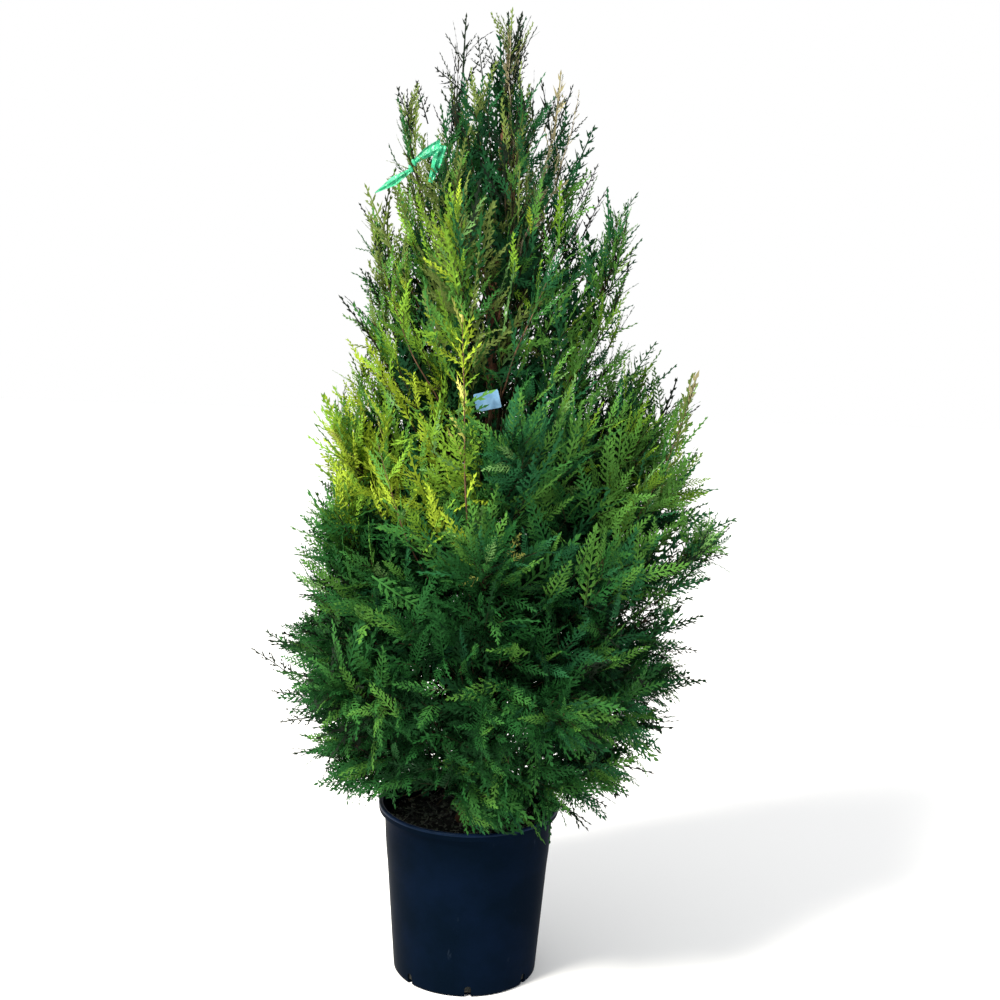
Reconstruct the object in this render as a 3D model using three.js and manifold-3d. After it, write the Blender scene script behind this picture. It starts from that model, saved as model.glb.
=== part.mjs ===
// A thuja in a nursery pot: one trunk with upswept boughs, each ending in a plume of foliage.
// Millimetres, +Z up. The origin is the middle of the pot's flat underside, and -Y is the front.
import * as THREE from "three";
import { mergeVertices } from "three/addons/utils/BufferGeometryUtils.js";
import Module from "manifold-3d";

const wasm = await Module();
wasm.setup();

// ---- driving dimensions ----
const CLEARANCE = 0.35; // between a solid and whatever is cut round it
const POT = { height: 329, baseRadius: 133, wallRadius: 155, rimRadius: 166, lip: 15, wall: 3, foot: 9, sides: 32 };
const SLOTS = { count: 7, width: 12, height: 22, firstBearing: 274, depth: 11 };
const COMPOST = { top: 291, lumps: 5, flatRadius: 34 };
const TRUNK = { baseRadius: 17, tipRadius: 2.5, flare: 8, flareHeight: 26, top: 1667, lean: 38, sway: 8 };
const BOUGH = { share: 0.52, taper: 0.55, sides: 5, steps: 3, intoMass: 0.035 };
const MASS = { around: 9, along: 7, lumps: 0.12 };
const FRONT_AND_BACK = { narrower: 0.06, reachWave: 0.05, tipWave: 26 }; // against plumes at the sides
const LABEL = { width: 42, height: 31, thickness: 1, tilt: -14, x: 14, y: -176, z: 1103 };
const TAPE = { width: 16, thickness: 1.6, knotX: -86, y: -74, knotZ: 1507, endX: -184, endZ: 1435, tail: 56 };

// The tiers of plumes, from the pot upwards. A plume leaves the trunk at its leave height and
// its tip has a reach from the pot's middle line and a height, given as [right side, left side];
// plumes between the sides take values between them. bend says where the bough turns: how far out
// and how far up, as shares of its run. turn is the first plume's bearing from the right.
const TIERS = [
  {
    name: "skirt", count: 4, turn: -8, leave: 356, leaveStep: 8, reach: [298, 298], tip: [340, 346],
    bend: [0.62, 0.36], start: 0.2, halfWidth: 146, halfDepth: 62,
  },
  {
    name: "low", count: 5, turn: 8, leave: 430, leaveStep: 14, reach: [430, 440], tip: [575, 612],
    bend: [0.52, 0.34], start: 0.18, halfWidth: 168, halfDepth: 112,
  },
  {
    name: "shoulder", count: 5, turn: -16, leave: 565, leaveStep: 16, reach: [472, 300], tip: [892, 938],
    bend: [0.6, 0.38], start: 0.16, halfWidth: 168, halfDepth: 132,
  },
  {
    name: "flank", count: 4, turn: 12, leave: 690, leaveStep: 20, reach: [394, 282], tip: [1128, 1080],
    bend: [0.62, 0.5], start: 0.16, halfWidth: 146, halfDepth: 118,
  },
  {
    name: "upper", count: 4, turn: -14, leave: 835, leaveStep: 22, reach: [252, 208], tip: [1438, 1424],
    bend: [0.68, 0.9], start: 0.14, halfWidth: 118, halfDepth: 100,
  },
  {
    name: "crest", count: 4, turn: 20, leave: 1097, leaveStep: 24, reach: [154, 160], tip: [1602, 1606],
    bend: [0.66, 0.95], start: 0.18, halfWidth: 74, halfDepth: 60,
  },
  {
    name: "spire", count: 1, turn: 190, leave: 1257, leaveStep: 0, reach: [60, 62], tip: [1703, 1703],
    bend: [1, 2], start: 0.22, halfWidth: 46, halfDepth: 40,
  },
];
const LEADER = { from: 1297, tip: 1734, lean: 46, halfWidth: 74, halfDepth: 66 };

// ---- shaping ----
const radians = THREE.MathUtils.degToRad;
const { smoothstep, lerp } = THREE.MathUtils;
const trunkShare = (height) => (height - COMPOST.top) / (TRUNK.top - COMPOST.top);

// The trunk's middle at a height: it leans towards +X and sways a little on its way up.
function trunkMiddle(height) {
  const share = trunkShare(height);
  const x = TRUNK.lean * share ** 1.5 + TRUNK.sway * Math.sin(5.2 * share);
  const y = TRUNK.sway * Math.sin(3.4 * share);
  return new THREE.Vector3(x, y, height);
}

function trunkRadius(height) {
  const flare = TRUNK.flare * Math.exp(-(height - COMPOST.top) / TRUNK.flareHeight);
  return lerp(TRUNK.baseRadius, TRUNK.tipRadius, trunkShare(height)) + flare;
}

// Carries a unit shape, whose axis is Y, along a curve. side is the direction that its X takes,
// and sizeAt(share, angle) gives its half sizes along side and across it.
function carryAlong(shape, curve, side, sizeAt) {
  shape.computeBoundingBox();
  const { min, max } = shape.boundingBox;
  const spots = shape.attributes.position;
  const spot = new THREE.Vector3();
  for (let i = 0; i < spots.count; i++) {
    spot.fromBufferAttribute(spots, i);
    const share = (spot.y - min.y) / (max.y - min.y);
    const ring = Math.hypot(spot.x, spot.z);
    const angle = Math.atan2(spot.z, spot.x);
    const along = curve.getTangent(share);
    const across = new THREE.Vector3().crossVectors(side, along).normalize();
    const [alongSide, acrossSide] = ring < 1e-6 ? [0, 0] : sizeAt(share, angle, ring);
    spot
      .copy(curve.getPoint(share))
      .addScaledVector(side, Math.cos(angle) * alongSide)
      .addScaledVector(across, Math.sin(angle) * acrossSide);
    spots.setXYZ(i, spot.x, spot.y, spot.z);
  }
  return shape;
}

// One stretch of a longer curve, as a curve of its own.
class Stretch extends THREE.Curve {
  constructor(whole, from, to) {
    super();
    Object.assign(this, { whole, from, to });
  }
  getPoint(share) {
    return this.whole.getPoint(lerp(this.from, this.to, share));
  }
}

class TrunkLine extends THREE.Curve {
  constructor(from, to) {
    super();
    Object.assign(this, { from, to });
  }
  getPoint(share) {
    return trunkMiddle(lerp(this.from, this.to, share));
  }
}

// ---- solids ----
function solidOf(geometry) {
  const bare = geometry.clone();
  bare.deleteAttribute("normal");
  bare.deleteAttribute("uv");
  const merged = mergeVertices(bare, 1e-3);
  const corners = merged.index.array;
  const faces = [];
  for (let i = 0; i < corners.length; i += 3) {
    const [a, b, c] = corners.subarray(i, i + 3);
    if (a !== b && b !== c && c !== a) faces.push(a, b, c);
  }
  const vertProperties = merged.attributes.position.array;
  return new wasm.Manifold(new wasm.Mesh({ numProp: 3, vertProperties, triVerts: Uint32Array.from(faces) }));
}

function geometryOf(solid) {
  const { vertProperties, triVerts } = solid.getMesh();
  const geometry = new THREE.BufferGeometry();
  geometry.setAttribute("position", new THREE.BufferAttribute(vertProperties, 3));
  geometry.setIndex(new THREE.BufferAttribute(triVerts, 1));
  geometry.computeVertexNormals();
  return geometry;
}

function largestPiece(solid) {
  return solid.decompose().reduce((most, piece) => (piece.volume() > most.volume() ? piece : most));
}

// ---- pot and compost ----
// The pot is a revolved outline: foot, leaning wall and a rounded lip that stands proud.
function potSolid() {
  const { height, baseRadius, wallRadius, rimRadius, lip, wall, foot, sides } = POT;
  const lipFoot = height - lip;
  const outline = [
    [0, 0],
    [baseRadius - foot, 0],
    [baseRadius - 0.2 * foot, 0.4 * foot],
    [baseRadius, foot],
    [wallRadius, lipFoot],
    [rimRadius - 2, lipFoot],
    [rimRadius, lipFoot + 3],
    [rimRadius, height - 4],
    [rimRadius - 4, height],
    [rimRadius - 9, height],
    [wallRadius - wall, lipFoot + 3],
    [baseRadius - wall, foot],
    [baseRadius - foot, wall],
    [0, wall],
  ];
  const points = outline.map(([radius, z]) => new THREE.Vector2(radius, z));
  const shell = solidOf(new THREE.LatheGeometry(points, sides).rotateX(Math.PI / 2));
  const slots = Array.from({ length: SLOTS.count }, (_, i) => slotSolid(SLOTS.firstBearing + (i * 360) / SLOTS.count));
  return slots.reduce((pot, slot) => pot.subtract(slot), shell);
}

// An arched drain slot through the pot's bottom edge, at a bearing from +X.
function slotSolid(bearing) {
  const half = SLOTS.width / 2;
  const spring = SLOTS.height - half;
  const arch = new THREE.Shape();
  arch.moveTo(-half, -2);
  arch.lineTo(half, -2);
  arch.lineTo(half, spring);
  arch.absarc(0, spring, half, 0, Math.PI, false);
  const prism = new THREE.ExtrudeGeometry(arch, { depth: 2 * SLOTS.depth, bevelEnabled: false, curveSegments: 2 });
  prism.translate(0, 0, -POT.baseRadius - SLOTS.depth);
  prism.rotateX(Math.PI / 2);
  prism.rotateZ(radians(bearing) - Math.PI / 2);
  return solidOf(prism);
}

// The compost fills the pot, with a lumpy top that is level where the trunk stands.
function compostSolid() {
  const { wallRadius, baseRadius, wall, foot, height, lip, sides } = POT;
  const inset = wall + 2 * CLEARANCE;
  const shoulder = COMPOST.top - COMPOST.lumps;
  const edge = lerp(baseRadius, wallRadius, (shoulder - foot) / (height - lip - foot)) - inset;
  const outline = [
    [0, wall + CLEARANCE],
    [baseRadius - foot - inset, wall + CLEARANCE],
    [baseRadius - inset, foot],
    [edge, shoulder],
    [0.9 * edge, COMPOST.top],
    [0.6 * edge, COMPOST.top],
    [COMPOST.flatRadius, COMPOST.top],
    [0, COMPOST.top],
  ];
  const points = outline.map(([radius, z]) => new THREE.Vector2(radius, z));
  const shape = new THREE.LatheGeometry(points, sides).rotateX(Math.PI / 2);
  const spots = shape.attributes.position;
  for (let i = 0; i < spots.count; i++) {
    const [x, y, z] = [spots.getX(i), spots.getY(i), spots.getZ(i)];
    const outside = smoothstep(Math.hypot(x, y), COMPOST.flatRadius, 2 * COMPOST.flatRadius);
    const lump = Math.sin(x / 19 + 1) * Math.cos(y / 16) + 0.4 * Math.sin((x - y) / 11);
    if (z > COMPOST.top - 1) spots.setZ(i, z + outside * COMPOST.lumps * lump);
  }
  return solidOf(shape);
}

// ---- the tree ----
function trunkSolid(grown) {
  const foot = COMPOST.top + CLEARANCE - grown;
  const line = new TrunkLine(foot, TRUNK.top + grown);
  const shape = new THREE.CylinderGeometry(1, 1, 1, 9, 14);
  carryAlong(shape, line, new THREE.Vector3(1, 0, 0), (share, angle, ring) => {
    const height = lerp(foot, TRUNK.top, share);
    const buttress = 1 + 0.14 * Math.sin(4 * angle) * Math.exp((foot - height) / TRUNK.flareHeight);
    const radius = ring * (trunkRadius(height) * buttress + grown);
    return [radius, radius];
  });
  return solidOf(shape).trimByPlane([0, 0, 1], foot);
}

// Everything that a bough and its plume are made from: their line, and the plume's measures.
function plantAt(tier, level, index) {
  const bearing = radians(tier.turn + (index * 360) / tier.count);
  const out = new THREE.Vector3(Math.cos(bearing), Math.sin(bearing), 0);
  const leftness = (1 - out.x) / 2;
  const depth = out.y ** 2;
  const wave = Math.sin(2.4 * index + 1.7 * level);
  const { narrower, reachWave, tipWave } = FRONT_AND_BACK;
  const reach = lerp(...tier.reach, leftness) * (1 - depth * (narrower + reachWave * wave));
  const tip = out.clone().multiplyScalar(reach);
  tip.z = lerp(...tier.tip, leftness) + tipWave * depth * wave;
  const root = trunkMiddle(tier.leave + tier.leaveStep * ((2 * index + 1) % tier.count));
  const run = Math.hypot(tip.x - root.x, tip.y - root.y);
  const bend = root.clone().addScaledVector(out, tier.bend[0] * run);
  bend.z += tier.bend[1] * run;
  return {
    ...tier,
    number: index + 1,
    side: new THREE.Vector3(out.y, -out.x, 0),
    line: new THREE.QuadraticBezierCurve3(root, bend, tip),
    seed: 1.3 * index + 2.9 * level,
  };
}

// One tapering limb from the trunk's middle to just inside its plume.
function boughSolid(plant, grown) {
  const { line, start, side } = plant;
  const thick = trunkRadius(line.v0.z) * BOUGH.share;
  const thin = thick * BOUGH.taper;
  const end = start + BOUGH.intoMass + grown / line.getLength();
  const shape = new THREE.CylinderGeometry(1, 1, 1, BOUGH.sides, BOUGH.steps);
  carryAlong(shape, new Stretch(line, 0, end), side, (share, angle, ring) => {
    const radius = ring * (lerp(thick, thin, share) + grown);
    return [radius, radius];
  });
  return solidOf(shape);
}

// An uneven flame-shaped solid: narrow where its bough enters, widest low down, pointed at its tip.
function massSolid(plant, grown) {
  const { line, start, side, halfWidth, halfDepth, seed } = plant;
  const beyond = grown / line.getLength();
  const shape = new THREE.SphereGeometry(1, MASS.around, MASS.along);
  carryAlong(shape, new Stretch(line, start - beyond, 1 + beyond), side, (share, angle) => {
    const flame = Math.sin(Math.PI * share ** 0.8) ** 0.8 * (1 - 0.32 * share);
    const lump =
      Math.sin(2 * angle + seed) +
      Math.sin(3 * angle + 6.5 * share + 2.1 * seed) +
      0.7 * Math.sin(5 * angle - 9 * share + 3.7 * seed);
    const size = flame * (1 + MASS.lumps * lump);
    return [halfWidth * size + grown, halfDepth * size + grown];
  });
  return solidOf(shape);
}

// The plume round the trunk's top, up to the tip of the crown.
const leader = {
  name: "leader",
  start: 0,
  side: new THREE.Vector3(1, 0, 0),
  line: new THREE.QuadraticBezierCurve3(
    trunkMiddle(LEADER.from),
    trunkMiddle(lerp(LEADER.from, LEADER.tip, 0.5)),
    new THREE.Vector3(LEADER.lean, 0, LEADER.tip),
  ),
  halfWidth: LEADER.halfWidth,
  halfDepth: LEADER.halfDepth,
  seed: 4.2,
};

// ---- label and tape ----
// A blank plastic label that stands in the foliage, facing the front.
function labelSolid(grown) {
  const plate = new THREE.BoxGeometry(
    LABEL.width + 2 * grown,
    LABEL.thickness + 2 * grown,
    LABEL.height + 2 * grown,
  );
  plate.rotateY(radians(LABEL.tilt));
  plate.translate(LABEL.x, LABEL.y, LABEL.z);
  return solidOf(plate);
}

// A plastic tape tied round an upper plume: a long end, the knot, and a short hanging tail.
function tapeSolid(grown) {
  const half = TAPE.width / 2 + 2 * grown;
  const outline = new THREE.Shape();
  outline.moveTo(TAPE.endX - grown, TAPE.endZ - half / 2);
  outline.lineTo(TAPE.endX + half, TAPE.endZ + half);
  outline.lineTo(TAPE.knotX - half, TAPE.knotZ + half);
  outline.lineTo(TAPE.knotX + half, TAPE.knotZ + half / 2);
  outline.lineTo(TAPE.knotX + half, TAPE.knotZ - TAPE.tail - grown);
  outline.lineTo(TAPE.knotX - half / 2, TAPE.knotZ - TAPE.tail - grown);
  outline.lineTo(TAPE.knotX - half, TAPE.knotZ - half);
  const depth = TAPE.thickness + 2 * grown;
  const band = new THREE.ExtrudeGeometry(outline, { depth, bevelEnabled: false });
  band.rotateX(Math.PI / 2);
  band.translate(0, TAPE.y + depth / 2, 0);
  return solidOf(band);
}

// ---- assembly ----
const finish = (color, roughness) => new THREE.MeshStandardMaterial({ color, roughness, metalness: 0 });
const materials = {
  pot: finish("#0d1c30", 0.45),
  compost: finish("#1d1814", 0.95),
  bark: finish("#5b3a28", 0.85),
  foliage: finish("#2f5a22", 0.7),
  label: finish("#b4c8ea", 0.5),
  tape: finish("#2fd694", 0.35),
};
const model = new THREE.Group();
const cutters = []; // a grown copy of each solid that later ones are cut round

function addNode(name, solid, material) {
  const mesh = new THREE.Mesh(geometryOf(solid), material);
  mesh.name = name;
  model.add(mesh);
}

// Adds a solid, less what is already there, and keeps room for it against what comes later.
function addCut(name, make, material) {
  const free = cutters.reduce((rest, cutter) => rest.subtract(cutter), make(0));
  addNode(name, largestPiece(free), material);
  cutters.push(make(CLEARANCE));
}

const plants = TIERS.flatMap((tier, level) =>
  Array.from({ length: tier.count }, (_, index) => plantAt(tier, level, index)),
);
const nodeName = (kind, { name, number }) => [kind, name, number].filter(Boolean).join("_");

addNode("pot", potSolid(), materials.pot);
addNode("compost", compostSolid(), materials.compost);
addCut("trunk", trunkSolid, materials.bark);
for (const plant of plants) {
  addCut(nodeName("bough", plant), (grown) => boughSolid(plant, grown), materials.bark);
}
addCut("label", labelSolid, materials.label);
addCut("tape", tapeSolid, materials.tape);
for (const plant of [leader, ...plants.toReversed()]) {
  addCut(nodeName("mass", plant), (grown) => massSolid(plant, grown), materials.foliage);
}

export default model;
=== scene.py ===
from math import atan2, cos, exp, hypot, pi, radians, sin, sqrt

import bmesh
import bpy
import numpy as np
from mathutils import Matrix, Vector, noise
from mathutils.bvhtree import BVHTree


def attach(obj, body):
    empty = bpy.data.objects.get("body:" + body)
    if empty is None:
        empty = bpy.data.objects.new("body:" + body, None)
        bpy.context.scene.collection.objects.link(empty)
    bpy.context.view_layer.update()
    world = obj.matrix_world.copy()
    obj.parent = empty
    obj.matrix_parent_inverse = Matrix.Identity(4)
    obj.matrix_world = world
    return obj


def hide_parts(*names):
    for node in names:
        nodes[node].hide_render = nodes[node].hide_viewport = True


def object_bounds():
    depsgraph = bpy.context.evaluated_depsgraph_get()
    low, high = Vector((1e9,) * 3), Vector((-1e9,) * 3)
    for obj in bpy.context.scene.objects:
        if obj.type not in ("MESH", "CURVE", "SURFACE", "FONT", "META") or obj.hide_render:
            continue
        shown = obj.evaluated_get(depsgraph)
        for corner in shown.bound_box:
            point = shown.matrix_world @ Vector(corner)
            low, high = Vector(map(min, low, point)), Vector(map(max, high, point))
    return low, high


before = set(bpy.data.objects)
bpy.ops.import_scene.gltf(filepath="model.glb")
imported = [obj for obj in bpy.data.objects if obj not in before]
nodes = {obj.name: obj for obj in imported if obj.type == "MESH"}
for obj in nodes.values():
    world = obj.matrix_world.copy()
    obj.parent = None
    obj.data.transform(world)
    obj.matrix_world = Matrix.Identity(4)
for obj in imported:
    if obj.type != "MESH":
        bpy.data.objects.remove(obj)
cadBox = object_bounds()
up = Vector((0, 0, 1))
print("frame loaded with", len(nodes), "nodes")


def lerp(a, b, share):
    return a + (b - a) * share


def table(columns, rows):  # settings by name; a row is a name, then a value for each column
    return {name: dict(zip(columns, values)) for name, *values in rows}


def srgb(red, green, blue):
    levels = [value / 255 for value in (red, green, blue)]
    return tuple(v / 12.92 if v < 0.04 else ((v + 0.055) / 1.055) ** 2.4 for v in levels)


def addPiece(name, mesh, materials, replaced, slot):
    for material in materials:
        mesh.materials.append(material)
    piece = bpy.data.objects.new(name, mesh)
    bpy.context.collection.objects.link(piece)
    if slot:
        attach(piece, "root")
        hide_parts(*replaced)
    return piece


def meshFrom(bm, name, smooth=True):
    bm.normal_update()
    for face in bm.faces:
        face.smooth = smooth
    mesh = bpy.data.meshes.new(name)
    bm.to_mesh(mesh)
    bm.free()
    return mesh


def spun(outline, steps):  # a closed outline of (radius, z) pairs turned once about the upright axis
    bm = bmesh.new()
    spots = [bm.verts.new((radius, 0, z)) for radius, z in outline]
    lines = [bm.edges.new(pair) for pair in zip(spots, spots[1:])]
    bmesh.ops.spin(bm, geom=spots + lines, cent=(0, 0, 0), axis=(0, 0, 1), angle=2 * pi, steps=steps,
                   use_merge=True)
    bmesh.ops.remove_doubles(bm, verts=bm.verts, dist=1e-6)
    bmesh.ops.recalc_face_normals(bm, faces=bm.faces)
    return bm


def tubes(name, runs, sides):  # one mesh of tapering closed tubes; a run lists (place, radius) pairs
    data = bpy.data.curves.new(name, "CURVE")
    data.dimensions = "3D"
    data.bevel_depth = 1
    data.bevel_resolution = max(0, (sides - 4) // 2)
    data.use_fill_caps = True
    for run in runs:
        spline = data.splines.new("POLY")
        spline.points.add(len(run) - 1)
        for point, (place, radius) in zip(spline.points, run):
            point.co = (*place, 1)
            point.radius = radius
    holder = bpy.data.objects.new(name, data)
    bpy.context.collection.objects.link(holder)
    bpy.context.view_layer.update()
    mesh = bpy.data.meshes.new_from_object(holder)
    bpy.data.objects.remove(holder)
    return mesh


def addNode(tree, kind, values=None, links=None, **settings):
    node = tree.nodes.new(kind)
    for key, value in settings.items():
        setattr(node, key, value)
    for key, value in (values or {}).items():
        node.inputs[key].default_value = value
    for key, source in (links or {}).items():
        tree.links.new(source, node.inputs[key])
    return node


def newGroup(name, inputs, outputs):
    group = bpy.data.node_groups.new(name, "ShaderNodeTree")
    for key, (kind, value) in inputs.items():
        socket = group.interface.new_socket(key, in_out="INPUT", socket_type=kind)
        socket.default_value = value
    for key, kind in outputs.items():
        group.interface.new_socket(key, in_out="OUTPUT", socket_type=kind)
    start = group.nodes.new("NodeGroupInput")
    end = group.nodes.new("NodeGroupOutput")
    return group, start.outputs, end.inputs


def makePatches():  # soft-edged patches on object coordinates, and a bump of the same noise
    group, given, out = newGroup(
        "patches",
        {"Scale": ("NodeSocketFloat", 20), "Stretch": ("NodeSocketVector", (1, 1, 1)),
         "From": ("NodeSocketFloat", 0.4), "To": ("NodeSocketFloat", 0.7),
         "Depth": ("NodeSocketFloat", 0.001), "Strength": ("NodeSocketFloat", 0.5)},
        {"Mask": "NodeSocketFloat", "Normal": "NodeSocketVector"})
    place = addNode(group, "ShaderNodeTexCoord").outputs["Object"]
    mapped = addNode(group, "ShaderNodeMapping", links={"Vector": place, "Scale": given["Stretch"]})
    cloud = addNode(group, "ShaderNodeTexNoise", {"Detail": 6, "Roughness": 0.6},
                    {"Vector": mapped.outputs["Vector"], "Scale": given["Scale"]})
    ramp = addNode(group, "ShaderNodeMapRange",
                   links={"Value": cloud.outputs["Fac"], "From Min": given["From"], "From Max": given["To"]})
    bump = addNode(group, "ShaderNodeBump", links={
        "Height": cloud.outputs["Fac"], "Distance": given["Depth"], "Strength": given["Strength"]})
    group.links.new(ramp.outputs["Result"], out["Mask"])
    group.links.new(bump.outputs["Normal"], out["Normal"])
    return group


patches = makePatches()


# the base colour is the first coat, and each further coat is laid over it in patches
def patternedMaterial(name, coats, settings, relief):
    material = bpy.data.materials.new(name)
    material.use_nodes = True
    tree = material.node_tree
    shader = tree.nodes["Principled BSDF"]
    for key, value in settings.items():
        shader.inputs[key].default_value = value
    color = None
    for tint, spread in coats[1:]:
        mask = addNode(tree, "ShaderNodeGroup", node_tree=patches)
        for key, value in spread.items():
            mask.inputs[key].default_value = value
        mix = addNode(tree, "ShaderNodeMix", data_type="RGBA")
        tree.links.new(mask.outputs["Mask"], mix.inputs[0])
        mix.inputs[6].default_value = (*coats[0], 1)
        if color:
            tree.links.new(color, mix.inputs[6])
        mix.inputs[7].default_value = (*tint, 1)
        color = mix.outputs[2]
    tree.links.new(color, shader.inputs["Base Color"])
    skin = addNode(tree, "ShaderNodeGroup", node_tree=patches)
    for key, value in relief.items():
        skin.inputs[key].default_value = value
    tree.links.new(skin.outputs["Normal"], shader.inputs["Normal"])
    return material


def plainMaterial(name, color, roughness, specular=0.4):
    material = bpy.data.materials.new(name)
    material.use_nodes = True
    shader = material.node_tree.nodes["Principled BSDF"]
    shader.inputs["Base Color"].default_value = (*color, 1)
    shader.inputs["Roughness"].default_value = roughness
    shader.inputs["Specular IOR Level"].default_value = specular
    return material


potPlastic = patternedMaterial(
    "potPlastic",
    [srgb(4, 12, 23),
     (srgb(6, 16, 32), {"Scale": 9, "From": 0.42, "To": 0.72}),
     (srgb(34, 44, 56), {"Scale": 60, "Stretch": (1, 1, 0.3), "From": 0.68, "To": 0.82})],
    {"Roughness": 0.40, "Specular IOR Level": 0.004, "Specular Tint": (0.5, 0.75, 1.0, 1)},
    {"Scale": 240, "Depth": 0.0004, "Strength": 0.25})
# a lighter copy of the pot plastic, with lighter spots, for the top of the rolled lip: a painted highlight
potLipHighlight = patternedMaterial(
    "potLipHighlight",
    [srgb(7, 19, 37),
     (srgb(12, 29, 54), {"Scale": 12, "From": 0.42, "To": 0.66}),
     (srgb(48, 64, 86), {"Scale": 90, "From": 0.66, "To": 0.76})],
    {"Roughness": 0.36, "Specular IOR Level": 0.08, "Specular Tint": (0.5, 0.75, 1.0, 1)},
    {"Scale": 240, "Depth": 0.0004, "Strength": 0.25})
barkSkin = patternedMaterial(
    "barkSkin",
    [srgb(84, 54, 40),
     (srgb(120, 84, 64), {"Scale": 70, "Stretch": (1, 1, 0.16), "From": 0.46, "To": 0.62}),
     (srgb(46, 32, 26), {"Scale": 110, "Stretch": (1, 1, 0.12), "From": 0.55, "To": 0.68})],
    {"Roughness": 0.85, "Specular IOR Level": 0.2},
    {"Scale": 120, "Stretch": (1, 1, 0.2), "Depth": 0.003, "Strength": 0.8})
twigSkin = patternedMaterial(
    "twigSkin",
    [srgb(34, 34, 20), (srgb(66, 48, 32), {"Scale": 45, "From": 0.5, "To": 0.62})],
    {"Roughness": 0.8, "Specular IOR Level": 0.1},
    {"Scale": 300, "Depth": 0.0006, "Strength": 0.4})
compostSoil = patternedMaterial(
    "compostSoil",
    [srgb(34, 36, 34),
     (srgb(64, 65, 59), {"Scale": 120, "From": 0.5, "To": 0.66}),
     (srgb(84, 83, 74), {"Scale": 320, "From": 0.62, "To": 0.72})],
    {"Roughness": 0.95, "Specular IOR Level": 0.15},
    {"Scale": 260, "Depth": 0.004, "Strength": 0.9})
litterSkin = patternedMaterial(
    "litterSkin",
    [srgb(86, 92, 84), (srgb(116, 122, 108), {"Scale": 60, "From": 0.45, "To": 0.6})],
    {"Roughness": 0.85, "Specular IOR Level": 0.2},
    {"Scale": 400, "Depth": 0.0008, "Strength": 0.5})
# the lighter patches on the blue-white card are a painted reflection of the sky
labelCard = patternedMaterial(
    "labelCard",
    [srgb(104, 148, 184), (srgb(130, 168, 200), {"Scale": 60, "From": 0.45, "To": 0.7})],
    {"Roughness": 0.35, "Specular IOR Level": 0.4},
    {"Scale": 90, "Depth": 0.0008, "Strength": 0.3})
dryTwigSkin = patternedMaterial(
    "dryTwigSkin",
    [srgb(140, 132, 108), (srgb(108, 98, 78), {"Scale": 60, "From": 0.45, "To": 0.6})],
    {"Roughness": 0.8, "Specular IOR Level": 0.2},
    {"Scale": 300, "Depth": 0.0006, "Strength": 0.4})
redTwigSkin = patternedMaterial(
    "redTwigSkin",
    [srgb(74, 50, 36), (srgb(106, 78, 58), {"Scale": 50, "From": 0.45, "To": 0.62})],
    {"Roughness": 0.75, "Specular IOR Level": 0.25},
    {"Scale": 260, "Depth": 0.0008, "Strength": 0.5})
tapePlastic = patternedMaterial(
    "tapePlastic",
    [srgb(38, 146, 104), (srgb(20, 104, 70), {"Scale": 55, "From": 0.5, "To": 0.64})],
    {"Roughness": 0.30, "Specular IOR Level": 0.35},
    {"Scale": 140, "Depth": 0.002, "Strength": 0.6})

# plain leaf colours dealt out by spray; from sun down to shade they follow how sunny a spray is, partly
# painted sunlight and shade and partly the leaves' own tone, and the pale green tint is a painted sheen
leafTints = {
    "cream": (170, 172, 88),
    "sun": (132, 154, 42),
    "lime": (100, 136, 40),
    "olive": (82, 98, 46),
    "pale": (90, 128, 70),
    "fresh": (68, 112, 44),
    "mid": (44, 90, 38),
    "deep": (25, 68, 29),
    "shade": (12, 44, 18),
    "sea": (30, 78, 44),
    "seaDark": (14, 52, 29),
    "blackish": (20, 30, 20),
    "dry": (130, 124, 92),
}
leafNames = list(leafTints)
leafMaterials = [plainMaterial("leaf" + name[0].upper() + name[1:], srgb(*tint), 0.65, 0.06)
                 for name, tint in leafTints.items()]
print("materials made:", len(bpy.data.materials))

# camera, light and floor
view = {"place": (0.040, -3.2, 1.607), "pitchDown": 12.53, "roll": 1.8, "lens": 66.4}
light = {
    "skyColor": (1.0, 1.0, 1.0), "skyStrength": 1.0,
    "key": {"place": (-2.4, -2.3, 4.3), "size": 1.6, "power": 560, "color": (1.0, 0.96, 0.87)},
    "fill": {"place": (2.8, -2.6, 1.6), "size": 2.2, "power": 20, "color": (0.82, 0.90, 1.0)},
    "aim": (0, 0, 0.9), "floorHalf": 6, "floorColor": (0.92, 0.92, 0.92),
}


def addLamp(name, place, size, power, color):
    data = bpy.data.lights.new(name, "AREA")
    data.shape = "DISK"
    data.size = size
    data.energy = power
    data.color = color
    lamp = bpy.data.objects.new(name, data)
    lamp.location = place
    lamp.rotation_euler = (Vector(light["aim"]) - Vector(place)).to_track_quat("-Z", "Y").to_euler()
    bpy.context.collection.objects.link(lamp)


def setStage():
    data = bpy.data.cameras.new("camera")
    data.lens = view["lens"]
    data.sensor_width = 36
    camera = bpy.data.objects.new("camera", data)
    pitch = Matrix.Rotation(radians(90 - view["pitchDown"]), 4, "X")
    roll = Matrix.Rotation(radians(view["roll"]), 4, "Z")
    camera.matrix_world = Matrix.Translation(view["place"]) @ (pitch @ roll)
    bpy.context.collection.objects.link(camera)
    scene = bpy.context.scene
    scene.camera = camera
    scene.view_settings.view_transform = "Standard"
    world = bpy.data.worlds.new("sky")
    world.use_nodes = True
    back = world.node_tree.nodes["Background"]
    back.inputs["Color"].default_value = (*light["skyColor"], 1)
    back.inputs["Strength"].default_value = light["skyStrength"]
    scene.world = world
    addLamp("key", **light["key"])
    addLamp("fill", **light["fill"])
    bm = bmesh.new()
    bmesh.ops.create_grid(bm, x_segments=1, y_segments=1, size=light["floorHalf"])
    paint = plainMaterial("floorPaint", light["floorColor"], 0.9)
    addPiece("floor", meshFrom(bm, "floor"), [paint], [], None)


setStage()

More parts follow.
